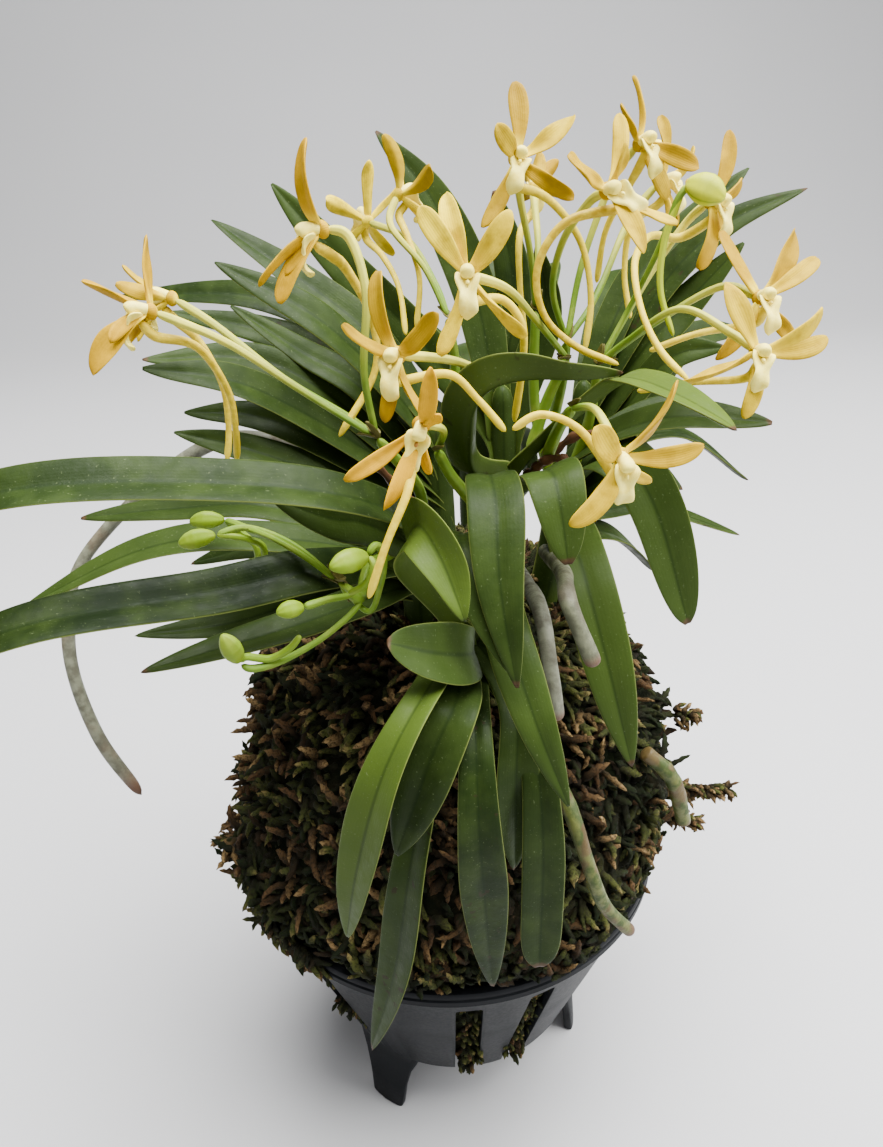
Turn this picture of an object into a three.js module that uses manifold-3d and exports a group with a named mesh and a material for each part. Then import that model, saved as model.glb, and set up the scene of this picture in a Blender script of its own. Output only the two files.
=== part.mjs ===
// Wind orchid in a slotted basket pot: a clump of leafy shoots on a tall moss mound, in full flower.
// Millimetres, +Z up. All points are measured from the pot's axis at the floor.

import * as THREE from 'three';
import { mergeVertices } from 'three/addons/utils/BufferGeometryUtils.js';
import Module from 'manifold-3d';

const wasm = await Module();
wasm.setup();

// Driving dimensions
const clearance = 0.35;            // gap between touching pieces

const rimRadius = 45;
const rimTop = 63.8;
const rimBottom = 60;
const rimEase = 0.7;
const wallTopRadius = 43.4;
const wallTop = 59.2;
const wallBottomRadius = 28.8;
const wallBottom = 18;
const wallThick = 1.6;
const floorThick = 2;
const floorHole = 8;
const potSides = 36;

const footCount = 3;
const footFirst = -37;             // degrees from the front, turning to the right
const footTopHalf = 18;
const footSoleHalf = 8.5;
const footSoleRadius = 30;
const footThick = 2.4;

const slotsPerFoot = [-44, 3, 24]; // one short slot over the foot and two long ones
const slotWidth = 5.4;
const slotTop = 55;
const shortSlotBottom = 27;
const slotInner = 21;

const moundTop = 128;
const moundColumns = 36;
const moundProfile = [
  [42.4, 64.6], [46.4, 69], [47.2, 80], [44, 97], [36.5, 113], [26, 123], [12, 127], [0, moundTop],
];
const moundRows = 13;
const moundLean = 4;               // the top stands to the right of the pot's axis
const lumpCount = 90;
const reliefMost = 4.5;
const reliefDrop = 1.6;            // the moss between two lumps lies this far under the profile
const sprigCount = 34;

// Long loose strands at the mound's sides as degrees, height, length, radius and droop, and the tufts
// that push out of the slots as degrees and height
const longSprigs = [
  [88, 72, 17, 1.3, 2], [80, 99, 8, 1.6, -2], [-86, 64.6, 11, 1.2, -1], [-92, 67, 9, 1.1, 3],
];
const slotTufts = [[24, 24], [-44, 36], [3, 22]];

const leafThick = 1.4;
const tepalLength = 11.5;
const tepalWidth = 3;
const tepalThick = 0.9;
const lipLength = 7.5;
const lipWidth = 3.6;
const lipThick = 1;
const hubRadius = 1.8;
const hubDepth = 1.4;
const hubFront = -0.6;             // the hub's middle lies behind the bloom's centre
const spurRadius = 0.75;
const pedicelRadius = 0.85;
const stalkRadius = 1.35;
const stemRadius = 3.4;
const leafZone = 0.55;             // share of a stem that carries leaves

// Each shoot: the way its leaves turn their upper faces, its stem, and its leaves as width and points
// from the stem to the tip
const shoots = [
  {
    name: 'shoot_front',
    face: [0, 0, 1],
    stem: [[9, -10, 119], [11, -12, 138], [12, -13, 157]],
    leaves: [
      [8, [21, -23, 168], [28, -32, 177], [36, -38, 174], [43, -40, 168]],
      [7, [6, -23, 166], [8, -29, 174], [17, -29, 176], [28, -28, 176]],
      [7, [16, -32, 162], [17, -39, 161], [18, -44, 152]],
      [7.2, [8, -31, 161], [8, -41, 161], [8, -49, 152], [10, -54, 138]],
      [6.6, [13, -38, 151], [15, -51, 141], [18, -56, 118]],
      [6.4, [4, -34, 152], [4, -46, 151], [10, -52, 140]],
    ],
  },
  {
    name: 'shoot_front_low',
    face: [0, 0, 1],
    stem: [[3, -20, 108], [4, -29, 126], [4, -36, 139]],
    leaves: [
      [7.5, [-5, -41, 151], [-4, -46, 158], [-1, -51, 156], [2, -54, 149]],
      [8, [4, -45, 133], [1, -54, 140], [-6, -59, 148]],
      [7, [10, -46, 130], [10, -51, 120], [10, -50, 100]],
      [7, [-3, -54, 138], [-9, -62, 130], [-14, -62, 112], [-17, -58, 95]],
      [7.4, [4, -52, 130], [4, -59, 118], [5, -57, 97], [6, -54, 77]],
      [7.5, [1, -52, 128], [-3, -57, 121], [-9, -56, 107]],
      [7, [12, -46, 127], [14, -53, 112], [14, -53, 80]],
      [7, [-1, -46, 125], [-6, -54, 108], [-10, -55, 84], [-16, -53, 60]],
    ],
  },
  {
    name: 'shoot_left',
    face: [0, -0.4, 1],
    stem: [[-4, -10, 118], [-4, -13, 132], [-4, -16, 146]],
    leaves: [
      [7.5, [-9, -38, 160], [-26, -43, 166], [-56, -47, 168], [-84, -50, 160]],
      [6.5, [-12, -30, 154], [-16, -37, 158], [-24, -40, 163]],
      [7, [-28, -16, 151], [-45, -15, 151], [-62, -15, 150]],
      [7, [-28, -24, 149], [-47, -26, 149], [-68, -30, 141]],
      [8, [-18, -36, 149], [-33, -42, 149], [-58, -52, 150], [-84, -58, 140]],
      [7, [-16, -13, 139], [-31, -12, 142], [-46, -10, 138]],
      [7, [-24, -34, 138], [-46, -44, 137]],
      [7, [-24, -15, 132], [-39, -15, 128], [-56, -18, 128]],
    ],
  },
  {
    name: 'shoot_back_left',
    face: [0, -0.4, 1],
    stem: [[0, 7, 121], [0, 9, 138], [0, 10, 158]],
    leaves: [
      [7.5, [-12, 16, 172], [-25, 22, 182], [-42, 28, 193]],
      [8, [-18, 5, 176], [-38, 8, 188]],
      [7, [-17, 24, 169], [-36, 33, 177], [-67, 40, 177]],
      [7, [-18, 16, 167], [-33, 20, 173], [-52, 22, 177]],
      [7, [-14, 12, 163], [-25, 14, 170], [-38, 16, 179]],
      [7.5, [-28, 10, 168], [-53, 5, 172]],
      [7.5, [-31, 2, 166], [-50, -5, 173]],
      [7, [-29, 5, 159], [-47, 5, 162]],
      [7, [-32, 0, 155], [-48, 0, 160]],
    ],
  },
  {
    name: 'shoot_back',
    face: [0, 0, 1],
    stem: [[13, 20, 121], [14, 24, 140], [14, 25, 160]],
    leaves: [
      [8.2, [9, 31, 176], [1, 36, 194], [-10, 40, 207]],
      [7, [17, 32, 176], [13, 33, 196]],
      [7, [23, 28, 172], [21, 27, 187]],
      [7, [-2, 26, 168], [-16, 26, 183], [-30, 30, 199]],
      [8, [12, 46, 176], [6, 62, 186]],
      [7.5, [24, 46, 172], [30, 60, 178]],
      [7.5, [0, 46, 164], [-14, 62, 168]],
    ],
  },
  {
    name: 'shoot_right_back',
    face: [0, -0.8, 1],
    stem: [[25, 15, 117], [29, 18, 138], [30, 20, 162]],
    leaves: [
      [7, [40, 28, 177], [51, 32, 187], [64, 36, 198]],
      [6.6, [44, 24, 176], [56, 25, 188], [71, 22, 195]],
      [8, [42, 20, 167], [50, 22, 175], [60, 22, 186]],
      [7.5, [38, 42, 172], [46, 58, 176]],
      [7.5, [44, 14, 165], [55, 10, 169]],
      [7, [52, 34, 163], [70, 44, 164]],
    ],
  },
  {
    name: 'shoot_right',
    face: [0, -0.5, 1],
    stem: [[19, -2, 120], [22, -2, 136], [23, -2, 154]],
    leaves: [
      [8, [38, -13, 163], [54, -20, 164]],
      [7, [42, 4, 159], [59, 4, 156]],
      [8.4, [30, -14, 157], [36, -19, 150], [43, -22, 128]],
      [7, [36, -6, 152], [44, -8, 148]],
      [8.4, [22, -28, 146], [25, -40, 134], [31, -44, 115]],
      [5.5, [36, 14, 135], [48, 25, 130], [69, 28, 121]],
      [7, [35, 8, 132], [46, 14, 120]],
    ],
  },
  {
    name: 'shoot_rear',
    face: [0, 0, 1],
    stem: [[8, 28, 114], [8, 36, 130], [8, 40, 148]],
    leaves: [
      [7.5, [6, 62, 158], [4, 80, 150]],
      [7.5, [-14, 56, 152], [-32, 64, 142]],
      [7.5, [26, 58, 154], [38, 70, 146]],
      [7, [4, 60, 142], [2, 70, 122]],
      [7, [20, 58, 138], [26, 66, 116]],
      [7, [-6, 56, 136], [-14, 63, 114]],
    ],
  },
  {
    name: 'shoot_rear_right',
    face: [0, 0, 1],
    stem: [[28, 24, 112], [31, 31, 127], [33, 33, 143]],
    leaves: [
      [7.5, [50, 48, 149], [66, 56, 140]],
      [7, [54, 37, 143], [72, 36, 131]],
      [7, [42, 56, 142], [46, 70, 126]],
      [7, [50, 45, 130], [58, 49, 108]],
    ],
  },
];

// Each bloom: its centre, the way it faces (azimuth from the front, height), tepal angles clockwise
// from the top, and the spur's route behind it
const blooms = [
  {
    name: '01', at: [-42, -20, 185], face: [-62, 5], tepals: [4, 62, -58, 140, -146],
    spur: [[-36, -18, 179], [-33, -15, 171], [-33, -14, 164], [-34, -12, 158]],
  },
  {
    name: '02', at: [-43, -4, 184], face: [-100, 5], tepals: [0, 60, -60, 140, -140],
    spur: [[-39, -5, 177], [-36, -6, 170], [-36, -6, 162], [-37, -7, 156]],
  },
  {
    name: '03', at: [-15, -25, 196], face: [-60, -10], tepals: [0, 62, -62, 135, -140],
    spur: [[-12, -21, 190], [-9, -20, 183], [-9, -21, 175], [-15, -25, 166]],
  },
  {
    name: '04', at: [-12, 32, 191], face: [-150, 20], tepals: [0, 62, -62, 138, -138],
    spur: [[-9, 26, 185], [-6, 20, 180], [-5, 15, 172]],
  },
  {
    name: '05', at: [-5, 26, 196], face: [120, 5], tepals: [0, 62, -62, 138, -138],
    spur: [[-4, 22, 189], [-2, 18, 182], [-3, 16, 173]],
  },
  {
    name: '06', at: [5, -29, 190], face: [0, 5], tepals: [-12, 39, -50, 136, -142],
    spur: [[10, -26, 186], [13, -26, 182], [13, -25, 175], [12, -24, 167]],
  },
  {
    name: '07', at: [-5, -36, 181], face: [-15, 0], tepals: [-8, 58, -50, 140, -142],
    spur: [[2, -35, 178], [6, -34, 174], [10, -34, 169]],
  },
  {
    name: '08', at: [-2, -42, 173], face: [-10, -20], lipTurn: 20, tepals: [12, 70, -48, 158, -118],
    spur: [[-4, -47, 166], [-7, -50, 160], [-10, -51, 152]],
  },
  {
    name: '09', at: [14, -5, 203], face: [8, 8], tepals: [-5, 49, -50, 124, -142],
    spur: [[19, -3, 197], [25, 0, 190], [27, -1, 181], [26, -3, 172]],
  },
  {
    name: '10', at: [19, 16, 197], face: [165, 15], tepals: [0, 62, -62, 138, -138],
    spur: [[16, 10, 190], [16, 9, 181], [17, 9, 172]],
  },
  {
    name: '11', at: [26, -18, 199], face: [20, 5], lipTurn: 30, tepals: [5, 60, -64, 116, 160],
    spur: [[20, -18, 195], [16, -18, 189], [17, -18, 182], [22, -18, 177], [29, -19, 174]],
  },
  {
    name: '12', at: [35, 4, 204], face: [25, 8], tepals: [-5, 56, -48, 115, -142],
    spur: [[34, 8, 197], [31, 10, 190], [30, 11, 181]],
  },
  {
    name: '13', at: [42, 17, 197], face: [60, 5], tepals: [0, 62, -62, 138, -138],
    spur: [[37, 17, 190], [36, 16, 182], [37, 13, 174]],
  },
  {
    name: '14', at: [47, 2, 195], face: [35, -5], tepals: [13, 60, -50, 139, -142],
    spur: [[43, 6, 189], [37, 2, 190], [33, -6, 187], [33, -13, 181], [35, -19, 176], [39, -23, 172]],
  },
  {
    name: '15', at: [52, -12, 182], face: [12, 10], tepals: [24, 66, -30, 120, -140],
    spur: [[50, -9, 177], [43, -9, 176], [36, -7, 173]],
  },
  {
    name: '16', at: [49, -22, 176], face: [0, 5], lipTurn: 8, tepals: [53, 98, -25, 142, -112],
    spur: [[47, -19, 171], [40, -16, 170], [33, -13, 168]],
  },
  {
    name: '17', at: [24, -46, 169], face: [10, -20], tepals: [37, 84, -75, 138, -142],
    spur: [[19, -43, 172], [14, -42, 174], [10, -42, 172]],
  },
];

// Each spray: its stalk, then a pedicel to each bloom by number, then its buds
const sprays = [
  {
    name: 'spray_left',
    stalk: [[-4, -16, 143], [-3, -21, 155], [-9, -28, 167]],
    pedicels: [
      ['01', [-20, -23, 173], [-31, -20, 180]],
      ['02', [-14, -20, 168], [-24, -15, 173], [-35, -8, 180]],
      ['03', [-10, -29, 177], [-9, -28, 188], [-11, -25, 195]],
    ],
    buds: [],
  },
  {
    name: 'spray_back_left',
    stalk: [[4, 14, 158], [4, 13, 168], [3, 12, 176]],
    pedicels: [
      ['04', [1, 17, 181], [-4, 25, 188]],
      ['05', [-1, 17, 184], [-7, 22, 191]],
    ],
    buds: [],
  },
  {
    name: 'spray_front',
    stalk: [[16, -10, 157], [19, -9, 166], [22, -10, 173]],
    pedicels: [
      ['06', [16, -18, 181], [11, -24, 187]],
      ['07', [12, -21, 173], [3, -28, 178]],
    ],
    buds: [],
  },
  {
    name: 'spray_low_front',
    stalk: [[6, -20, 152], [2, -27, 160], [0, -32, 166]],
    pedicels: [
      ['08', [1, -35, 170]],
    ],
    buds: [],
  },
  {
    name: 'spray_top',
    stalk: [[21, -1, 148], [18, 1, 162], [18, 2, 179]],
    pedicels: [
      ['09', [17, 2, 188], [15, 0, 197]],
      ['10', [19, 8, 188]],
    ],
    buds: [],
  },
  {
    name: 'spray_high_right',
    stalk: [[22, 6, 157], [23, 2, 166], [23, -2, 174]],
    pedicels: [
      ['11', [20, -5, 183], [21, -8, 191], [24, -13, 197]],
      ['12', [26, 3, 186], [31, 5, 199]],
      ['13', [29, 5, 180], [36, 15, 191]],
    ],
    buds: [],
  },
  {
    name: 'spray_right',
    stalk: [[24, -2, 148], [27, -4, 160], [28, -6, 171]],
    pedicels: [
      ['14', [38, 5, 183], [44, 7, 191]],
      ['15', [37, -5, 177], [47, -7, 183]],
      ['16', [32, -8, 175], [39, -13, 181], [46, -18, 178]],
      ['bud', [33, -3, 179], [38, -6, 188], [42, -5, 198]],
    ],
    buds: [[[41, -5, 198], [45, -7, 197], 2.4]],
  },
  {
    name: 'spray_right_front',
    stalk: [[18, -16, 158], [19, -24, 166], [20, -30, 171]],
    pedicels: [
      ['17', [22, -38, 173]],
    ],
    buds: [],
  },
  {
    name: 'spray_buds',
    stalk: [[-8, -20, 144], [-12, -34, 148], [-14, -44, 149], [-21, -42, 151], [-26, -36, 156]],
    pedicels: [
      ['bud', [-12, -47, 155]],
      ['bud', [-18, -47, 149], [-20, -50, 150]],
      ['bud', [-22, -47, 146], [-28, -51, 146]],
      ['bud', [-30, -34, 155], [-35, -34, 154]],
      ['bud', [-30, -29, 157], [-35, -28, 155]],
    ],
    buds: [
      [[-12, -46, 154], [-13, -50, 157], 1.9],
      [[-19, -50, 150], [-23, -51, 150], 1.5],
      [[-27, -51, 146], [-31, -52, 147], 1.6],
      [[-34, -34, 154], [-38, -35, 154], 1.6],
      [[-34, -28, 155], [-38, -28, 156], 1.4],
    ],
  },
];

// Each aerial root: its radius and points from the stem to its growing tip
const roots = [
  ['root_left_long', 1.8, [-5, 11, 140], [-22, 16, 147], [-46, 20, 151], [-74, 15, 130],
    [-79, 5, 114], [-75, 0, 94], [-68, -2, 77]],
  ['root_silver', 1.7, [18, -18, 142], [18, -36, 147], [18, -44, 147], [22, -47, 137]],
  ['root_grey', 1.6, [13, -16, 138], [15, -36, 141], [16, -43, 134], [17, -45, 126]],
  ['root_front_green', 1.9, [14, -28, 114], [19, -43, 110], [26, -48, 93], [32, -47, 80]],
  ['root_right_green', 1.9, [36, -26, 104], [42, -26, 98], [45, -26, 86]],
];

// Points and directions
const point = (p) => new THREE.Vector3(p[0], p[1], p[2]);
const up = new THREE.Vector3(0, 0, 1);
const radians = THREE.MathUtils.degToRad;
const polar = (radius, degrees, z) =>
  new THREE.Vector3(radius * Math.sin(radians(degrees)), -radius * Math.cos(radians(degrees)), z);
const route = (points) => new THREE.CatmullRomCurve3(points.map(point), false, 'catmullrom', 0.5);

function seededRandom(seed) {
  let state = seed;
  return () => {
    state = (state * 1664525 + 1013904223) % 4294967296;
    return state / 4294967296;
  };
}

// Solids
function solidOf(positions, triangles) {
  const mesh = new wasm.Mesh({
    numProp: 3,
    vertProperties: new Float32Array(positions),
    triVerts: new Uint32Array(triangles),
  });
  return new wasm.Manifold(mesh);
}

function solidFrom(geometry) {
  geometry.deleteAttribute('normal');
  geometry.deleteAttribute('uv');
  const merged = mergeVertices(geometry, 1e-4);
  return solidOf(merged.attributes.position.array, merged.index.array);
}

// A closed skin built up from rings of corners; opposite sides are split alike
class Skin {
  positions = [];
  triangles = [];

  corner(place) {
    this.positions.push(place.x, place.y, place.z);
    return this.positions.length / 3 - 1;
  }

  ring(places) {
    return places.map((place) => this.corner(place));
  }

  bridge(from, to) {
    from.forEach((a, j) => {
      const b = from[(j + 1) % from.length];
      const c = to[j];
      const d = to[(j + 1) % from.length];
      if (j % 2 === 0) this.triangles.push(a, b, d, a, d, c);
      else this.triangles.push(a, b, c, b, d, c);
    });
  }

  gather(ring, tip) {
    ring.forEach((a, j) => this.triangles.push(a, ring[(j + 1) % ring.length], tip));
  }

  cap(ring, facingBack) {
    for (let j = 2; j < ring.length; j++) {
      const k = (j + 1) % ring.length;
      if (facingBack) this.triangles.push(ring[1], ring[k], ring[j]);
      else this.triangles.push(ring[1], ring[j], ring[k]);
    }
  }

  // Flat end of a curved band, split straight across between its two long edges
  bandEnd(ring, facingBack) {
    const last = ring.length - 1;
    for (let j = 0; j < ring.length / 2 - 1; j++) {
      const [a, b, c, d] = [ring[j], ring[j + 1], ring[last - j - 1], ring[last - j]];
      if (facingBack) this.triangles.push(a, c, b, a, d, c);
      else this.triangles.push(a, b, c, a, c, d);
    }
  }

  solid() {
    return solidOf(this.positions, this.triangles);
  }
}

// Skin over a row of rings, ending in a flat face or in a point
function loft(rings, tip) {
  const skin = new Skin();
  const rows = rings.map((ring) => skin.ring(ring));
  for (let i = 0; i + 1 < rows.length; i++) skin.bridge(rows[i], rows[i + 1]);
  skin.cap(rows[0], true);
  if (tip) skin.gather(rows.at(-1), skin.corner(tip));
  else skin.cap(rows.at(-1), false);
  return skin.solid();
}

function fuse(solids) {
  const joined = wasm.Manifold.union(solids);
  const bodies = joined.decompose();
  return bodies.reduce((best, body) => (body.volume() > best.volume() ? body : best));
}

// Round strand along points, with its radius given along its length
function strand(points, radiusAt, sides, steps, grow = 0, pointed = false) {
  const curve = route(points);
  const rings = [];
  let side = null;
  for (let i = 0; i <= steps; i++) {
    const t = i / steps;
    const centre = curve.getPoint(t);
    const tangent = curve.getTangent(t);
    if (!side) side = Math.abs(tangent.z) < 0.9 ? up.clone() : new THREE.Vector3(1, 0, 0);
    side = side.clone().addScaledVector(tangent, -side.dot(tangent)).normalize();
    const other = new THREE.Vector3().crossVectors(tangent, side);
    const radius = radiusAt(t) + grow;
    const ring = [];
    for (let j = 0; j < sides; j++) {
      const angle = (j / sides) * Math.PI * 2;
      ring.push(centre.clone()
        .addScaledVector(side, Math.cos(angle) * radius)
        .addScaledVector(other, Math.sin(angle) * radius));
    }
    rings.push(ring);
  }
  return pointed ? loft(rings.slice(0, -1), curve.getPoint(1)) : loft(rings);
}

// Rings of a folded blade along a curve: its two margins, the channel above and the keel below
function bladeRings(curve, sideways, shape) {
  const rings = [];
  for (const t of shape.stations) {
    const centre = curve.getPoint(t);
    const tangent = curve.getTangent(t);
    const side = sideways.clone().addScaledVector(tangent, -sideways.dot(tangent)).normalize();
    const normal = new THREE.Vector3().crossVectors(side, tangent);
    const half = shape.halfWidth(t);
    const lift = shape.fold(t) * half;
    const deep = shape.thick / 2;
    rings.push([
      centre.clone().addScaledVector(side, -half).addScaledVector(normal, lift),
      centre.clone().addScaledVector(normal, deep),
      centre.clone().addScaledVector(side, half).addScaledVector(normal, lift),
      centre.clone().addScaledVector(normal, -deep),
    ]);
  }
  return rings;
}

// Pot
const wallSlope = (wallTopRadius - wallBottomRadius) / (wallTop - wallBottom);
const wallAcross = wallThick * Math.hypot(1, wallSlope);
const wallRadius = (z) => wallBottomRadius + wallSlope * (z - wallBottom);

function basketShell() {
  const profile = [
    [floorHole, wallBottom],
    [wallBottomRadius, wallBottom],
    [wallTopRadius, wallTop],
    [rimRadius, rimBottom],
    [rimRadius, rimTop - rimEase],
    [rimRadius - rimEase, rimTop],
    [wallTopRadius - 0.2, rimTop],
    [wallTopRadius - wallAcross, wallTop],
    [wallRadius(wallBottom + floorThick) - wallAcross, wallBottom + floorThick],
    [floorHole, wallBottom + floorThick],
    [floorHole, wallBottom],
  ];
  const points = profile.map(([r, z]) => new THREE.Vector2(r, z));
  const shell = new THREE.LatheGeometry(points, potSides);
  shell.rotateX(Math.PI / 2);
  return solidFrom(shell);
}

function slotCutter(degrees, bottom) {
  const depth = rimRadius - slotInner;
  const box = new THREE.BoxGeometry(slotWidth, depth, slotTop - bottom);
  box.translate(0, -(slotInner + depth / 2), (slotTop + bottom) / 2);
  box.rotateZ(radians(degrees));
  return solidFrom(box);
}

function foot(degrees) {
  const levels = [
    [0, footSoleHalf, footSoleRadius, footThick],
    [wallBottom - 5, footTopHalf - 3, wallBottomRadius + 0.5, footThick],
    [wallBottom + 0.9, footTopHalf, wallBottomRadius + 0.5, footThick],
    [wallBottom + 6.5, footTopHalf, wallRadius(wallBottom + 6.5) - 0.5, wallThick - 0.9],
  ];
  const spread = [-1, -0.5, 0, 0.5, 1];
  const skin = new Skin();
  const rows = levels.map(([z, half, outer, thick]) => skin.ring([
    ...spread.map((s) => polar(outer, degrees + s * half, z)),
    ...spread.slice().reverse().map((s) => polar(outer - thick, degrees + s * half, z)),
  ]));
  for (let i = 0; i + 1 < rows.length; i++) skin.bridge(rows[i], rows[i + 1]);
  skin.bandEnd(rows[0], true);
  skin.bandEnd(rows.at(-1), false);
  return skin.solid();
}

function basket() {
  let pot = basketShell();
  for (let i = 0; i < footCount; i++) {
    const turn = (i * 360) / footCount;
    const [short, ...long] = slotsPerFoot;
    pot = pot.subtract(slotCutter(short + turn, shortSlotBottom));
    for (const degrees of long) pot = pot.subtract(slotCutter(degrees + turn, wallBottom - 4));
  }
  for (let i = 0; i < footCount; i++) pot = pot.add(foot(footFirst + (i * 360) / footCount));
  return fuse([pot]);
}

// Moss
function mossLumps() {
  const random = seededRandom(11);
  const lumps = [];
  for (let i = 0; i < lumpCount; i++) {
    lumps.push({
      turn: random() * 360,
      along: 0.1 + random() * 0.9,
      reach: 4 + random() * 5,
      height: 1 + random() * 2.8,
    });
  }
  return lumps;
}

const moundCurve = new THREE.CatmullRomCurve3(
  moundProfile.map(([r, z]) => new THREE.Vector3(r, 0, z)), false, 'catmullrom', 0.5);

function moundPoint(degrees, along, lumps) {
  const base = moundCurve.getPoint(along);
  const tangent = moundCurve.getTangent(along);
  const centre = polar(base.x, degrees, base.z);
  let relief = 0;
  for (const lump of lumps) {
    const middle = moundCurve.getPoint(lump.along);
    const away = centre.distanceTo(polar(middle.x, lump.turn, middle.z));
    relief += lump.height * Math.exp(-((away / lump.reach) ** 2));
  }
  const edge = Math.min(1, along * 8);
  const outward = polar(tangent.z, degrees, -tangent.x);
  centre.addScaledVector(outward, (Math.min(relief, reliefMost) - reliefDrop) * edge);
  centre.x += (moundLean * (base.z - rimTop)) / (moundTop - rimTop);
  return centre;
}

function sprig(root, direction, length, radius, droop) {
  const middle = root.clone().addScaledVector(direction, length * 0.5);
  const end = root.clone().addScaledVector(direction, length * 0.9);
  end.z -= droop;
  const start = root.clone().addScaledVector(direction, -2.2);
  const points = [start, middle, end].map((p) => p.toArray());
  return strand(points, (t) => radius * (1.1 - 0.5 * t), 3, 3, 0, true);
}

function mossMound(holes) {
  const lumps = mossLumps();
  const gap = clearance + 0.1;
  const within = (z) => wallRadius(z) - wallAcross - gap;
  const fill = [
    [within(wallBottom + floorThick + gap), wallBottom + floorThick + gap],
    [within((wallBottom + rimBottom) / 2), (wallBottom + rimBottom) / 2],
    [within(wallTop), wallTop],
    [wallTopRadius - 0.8 - gap, rimTop],
  ];
  const rings = [];
  const columns = [...Array(moundColumns).keys()].map((i) => (i * 360) / moundColumns);
  for (const [r, z] of fill) rings.push(columns.map((degrees) => polar(r, degrees, z)));
  for (let i = 0; i < moundRows; i++) {
    rings.push(columns.map((degrees) => moundPoint(degrees, i / moundRows, lumps)));
  }
  const pieces = [loft(rings, new THREE.Vector3(moundLean, 0, moundTop))];
  const random = seededRandom(23);
  for (let i = 0; i < sprigCount; i++) {
    const degrees = random() * 360;
    const along = 0.12 + random() * 0.66;
    const root = moundPoint(degrees, along, lumps);
    const direction = polar(1, degrees + (random() - 0.5) * 90, (random() - 0.5) * 1.2).normalize();
    pieces.push(sprig(root, direction, 3.5 + random() * 4.5, 0.7 + random() * 0.5, random() * 3));
  }
  for (const [degrees, z, length, radius, droop] of longSprigs) {
    const root = polar(46.5, degrees, z);
    pieces.push(sprig(root, polar(1, degrees, 0), length, radius, droop));
  }
  for (const [degrees, z] of slotTufts) {
    const root = polar(wallRadius(z) - 5, degrees, z);
    pieces.push(sprig(root, polar(1, degrees, -0.1).normalize(), 9, 2, 2.5));
  }
  const cut = wasm.Manifold.union(holes);
  return fuse([wasm.Manifold.union(pieces).subtract(cut)]);
}

// Shoot
const leafStations = [0, 0.22, 0.44, 0.66, 0.85, 0.95];

// The leaves leave their stem one below the other, from its top down
function leaf({ stem, face, leaves }, [width, ...points], index) {
  const start = route(stem).getPoint(0.97 - (leafZone * index) / leaves.length);
  const outward = point(points.at(-1)).sub(start).setZ(0).normalize();
  start.addScaledVector(outward, stemRadius * 0.4);
  const shape = {
    stations: leafStations,
    halfWidth: (t) => (width / 2) * (0.35 + 0.65 * Math.min(1, t / 0.3)) * (1 - t ** 5) ** 0.6,
    fold: (t) => 0.2 + 0.6 * (1 - t) ** 2,
    thick: leafThick,
  };
  const curve = route([start.toArray(), ...points]);
  const sideways = new THREE.Vector3().crossVectors(outward, point(face));
  return loft(bladeRings(curve, sideways, shape), curve.getPoint(1));
}

const stemRadiusAt = (t) => stemRadius * (0.75 + 0.5 * Math.sin(Math.PI * (0.15 + 0.7 * t)) - 0.25 * t);
const stemSolid = (shoot, grow = 0) => strand(shoot.stem, stemRadiusAt, 6, 4, grow);

function shootSolid(shoot, strands) {
  const body = fuse([stemSolid(shoot), ...shoot.leaves.map((row, index) => leaf(shoot, row, index))]);
  return fuse([body.subtract(wasm.Manifold.union(strands))]);
}

// Bloom
function bloomAxes(bloom) {
  const [azimuth, height] = bloom.face.map(radians);
  const front = new THREE.Vector3(
    Math.sin(azimuth) * Math.cos(height), -Math.cos(azimuth) * Math.cos(height), Math.sin(height));
  const right = new THREE.Vector3(Math.cos(azimuth), Math.sin(azimuth), 0);
  const top = new THREE.Vector3().crossVectors(right, front).negate();
  return { front, right, top };
}

// Place in a bloom's own axes: to its right, towards its top and out of its face
function inBloom(bloom, right, top, front) {
  const axes = bloomAxes(bloom);
  return point(bloom.at)
    .addScaledVector(axes.right, right)
    .addScaledVector(axes.top, top)
    .addScaledVector(axes.front, front);
}

// The same place turned with the lip, which doesn't always hang straight down
function inLip(bloom, right, top, front) {
  const turn = radians(bloom.lipTurn ?? 0);
  const across = right * Math.cos(turn) + top * Math.sin(turn);
  return inBloom(bloom, across, top * Math.cos(turn) - right * Math.sin(turn), front);
}

function tepalCurve(bloom, degrees) {
  const angle = radians(degrees);
  const signed = degrees > 180 ? degrees - 360 : degrees;
  const bend = Math.abs(signed) < 100 ? -Math.sign(signed) * 1.2 : Math.sign(signed) * 0.8;
  return new THREE.CatmullRomCurve3([0, 0.35, 0.7, 1].map((t) => {
    const along = (tepalLength - hubRadius) * t + hubRadius;
    const across = bend * t * t;
    const right = Math.sin(angle) * along + Math.cos(angle) * across;
    const top = Math.cos(angle) * along - Math.sin(angle) * across;
    return inBloom(bloom, right, top, -0.5 + 2.2 * t - 3.4 * t * t);
  }), false, 'catmullrom', 0.5);
}

const tepalShape = {
  stations: [0.45, 0.84],
  halfWidth: (t) => (tepalWidth / 2) * (t < 0.6 ? 1 : 0.84),
  fold: () => 0.22,
  thick: tepalThick,
};

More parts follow.
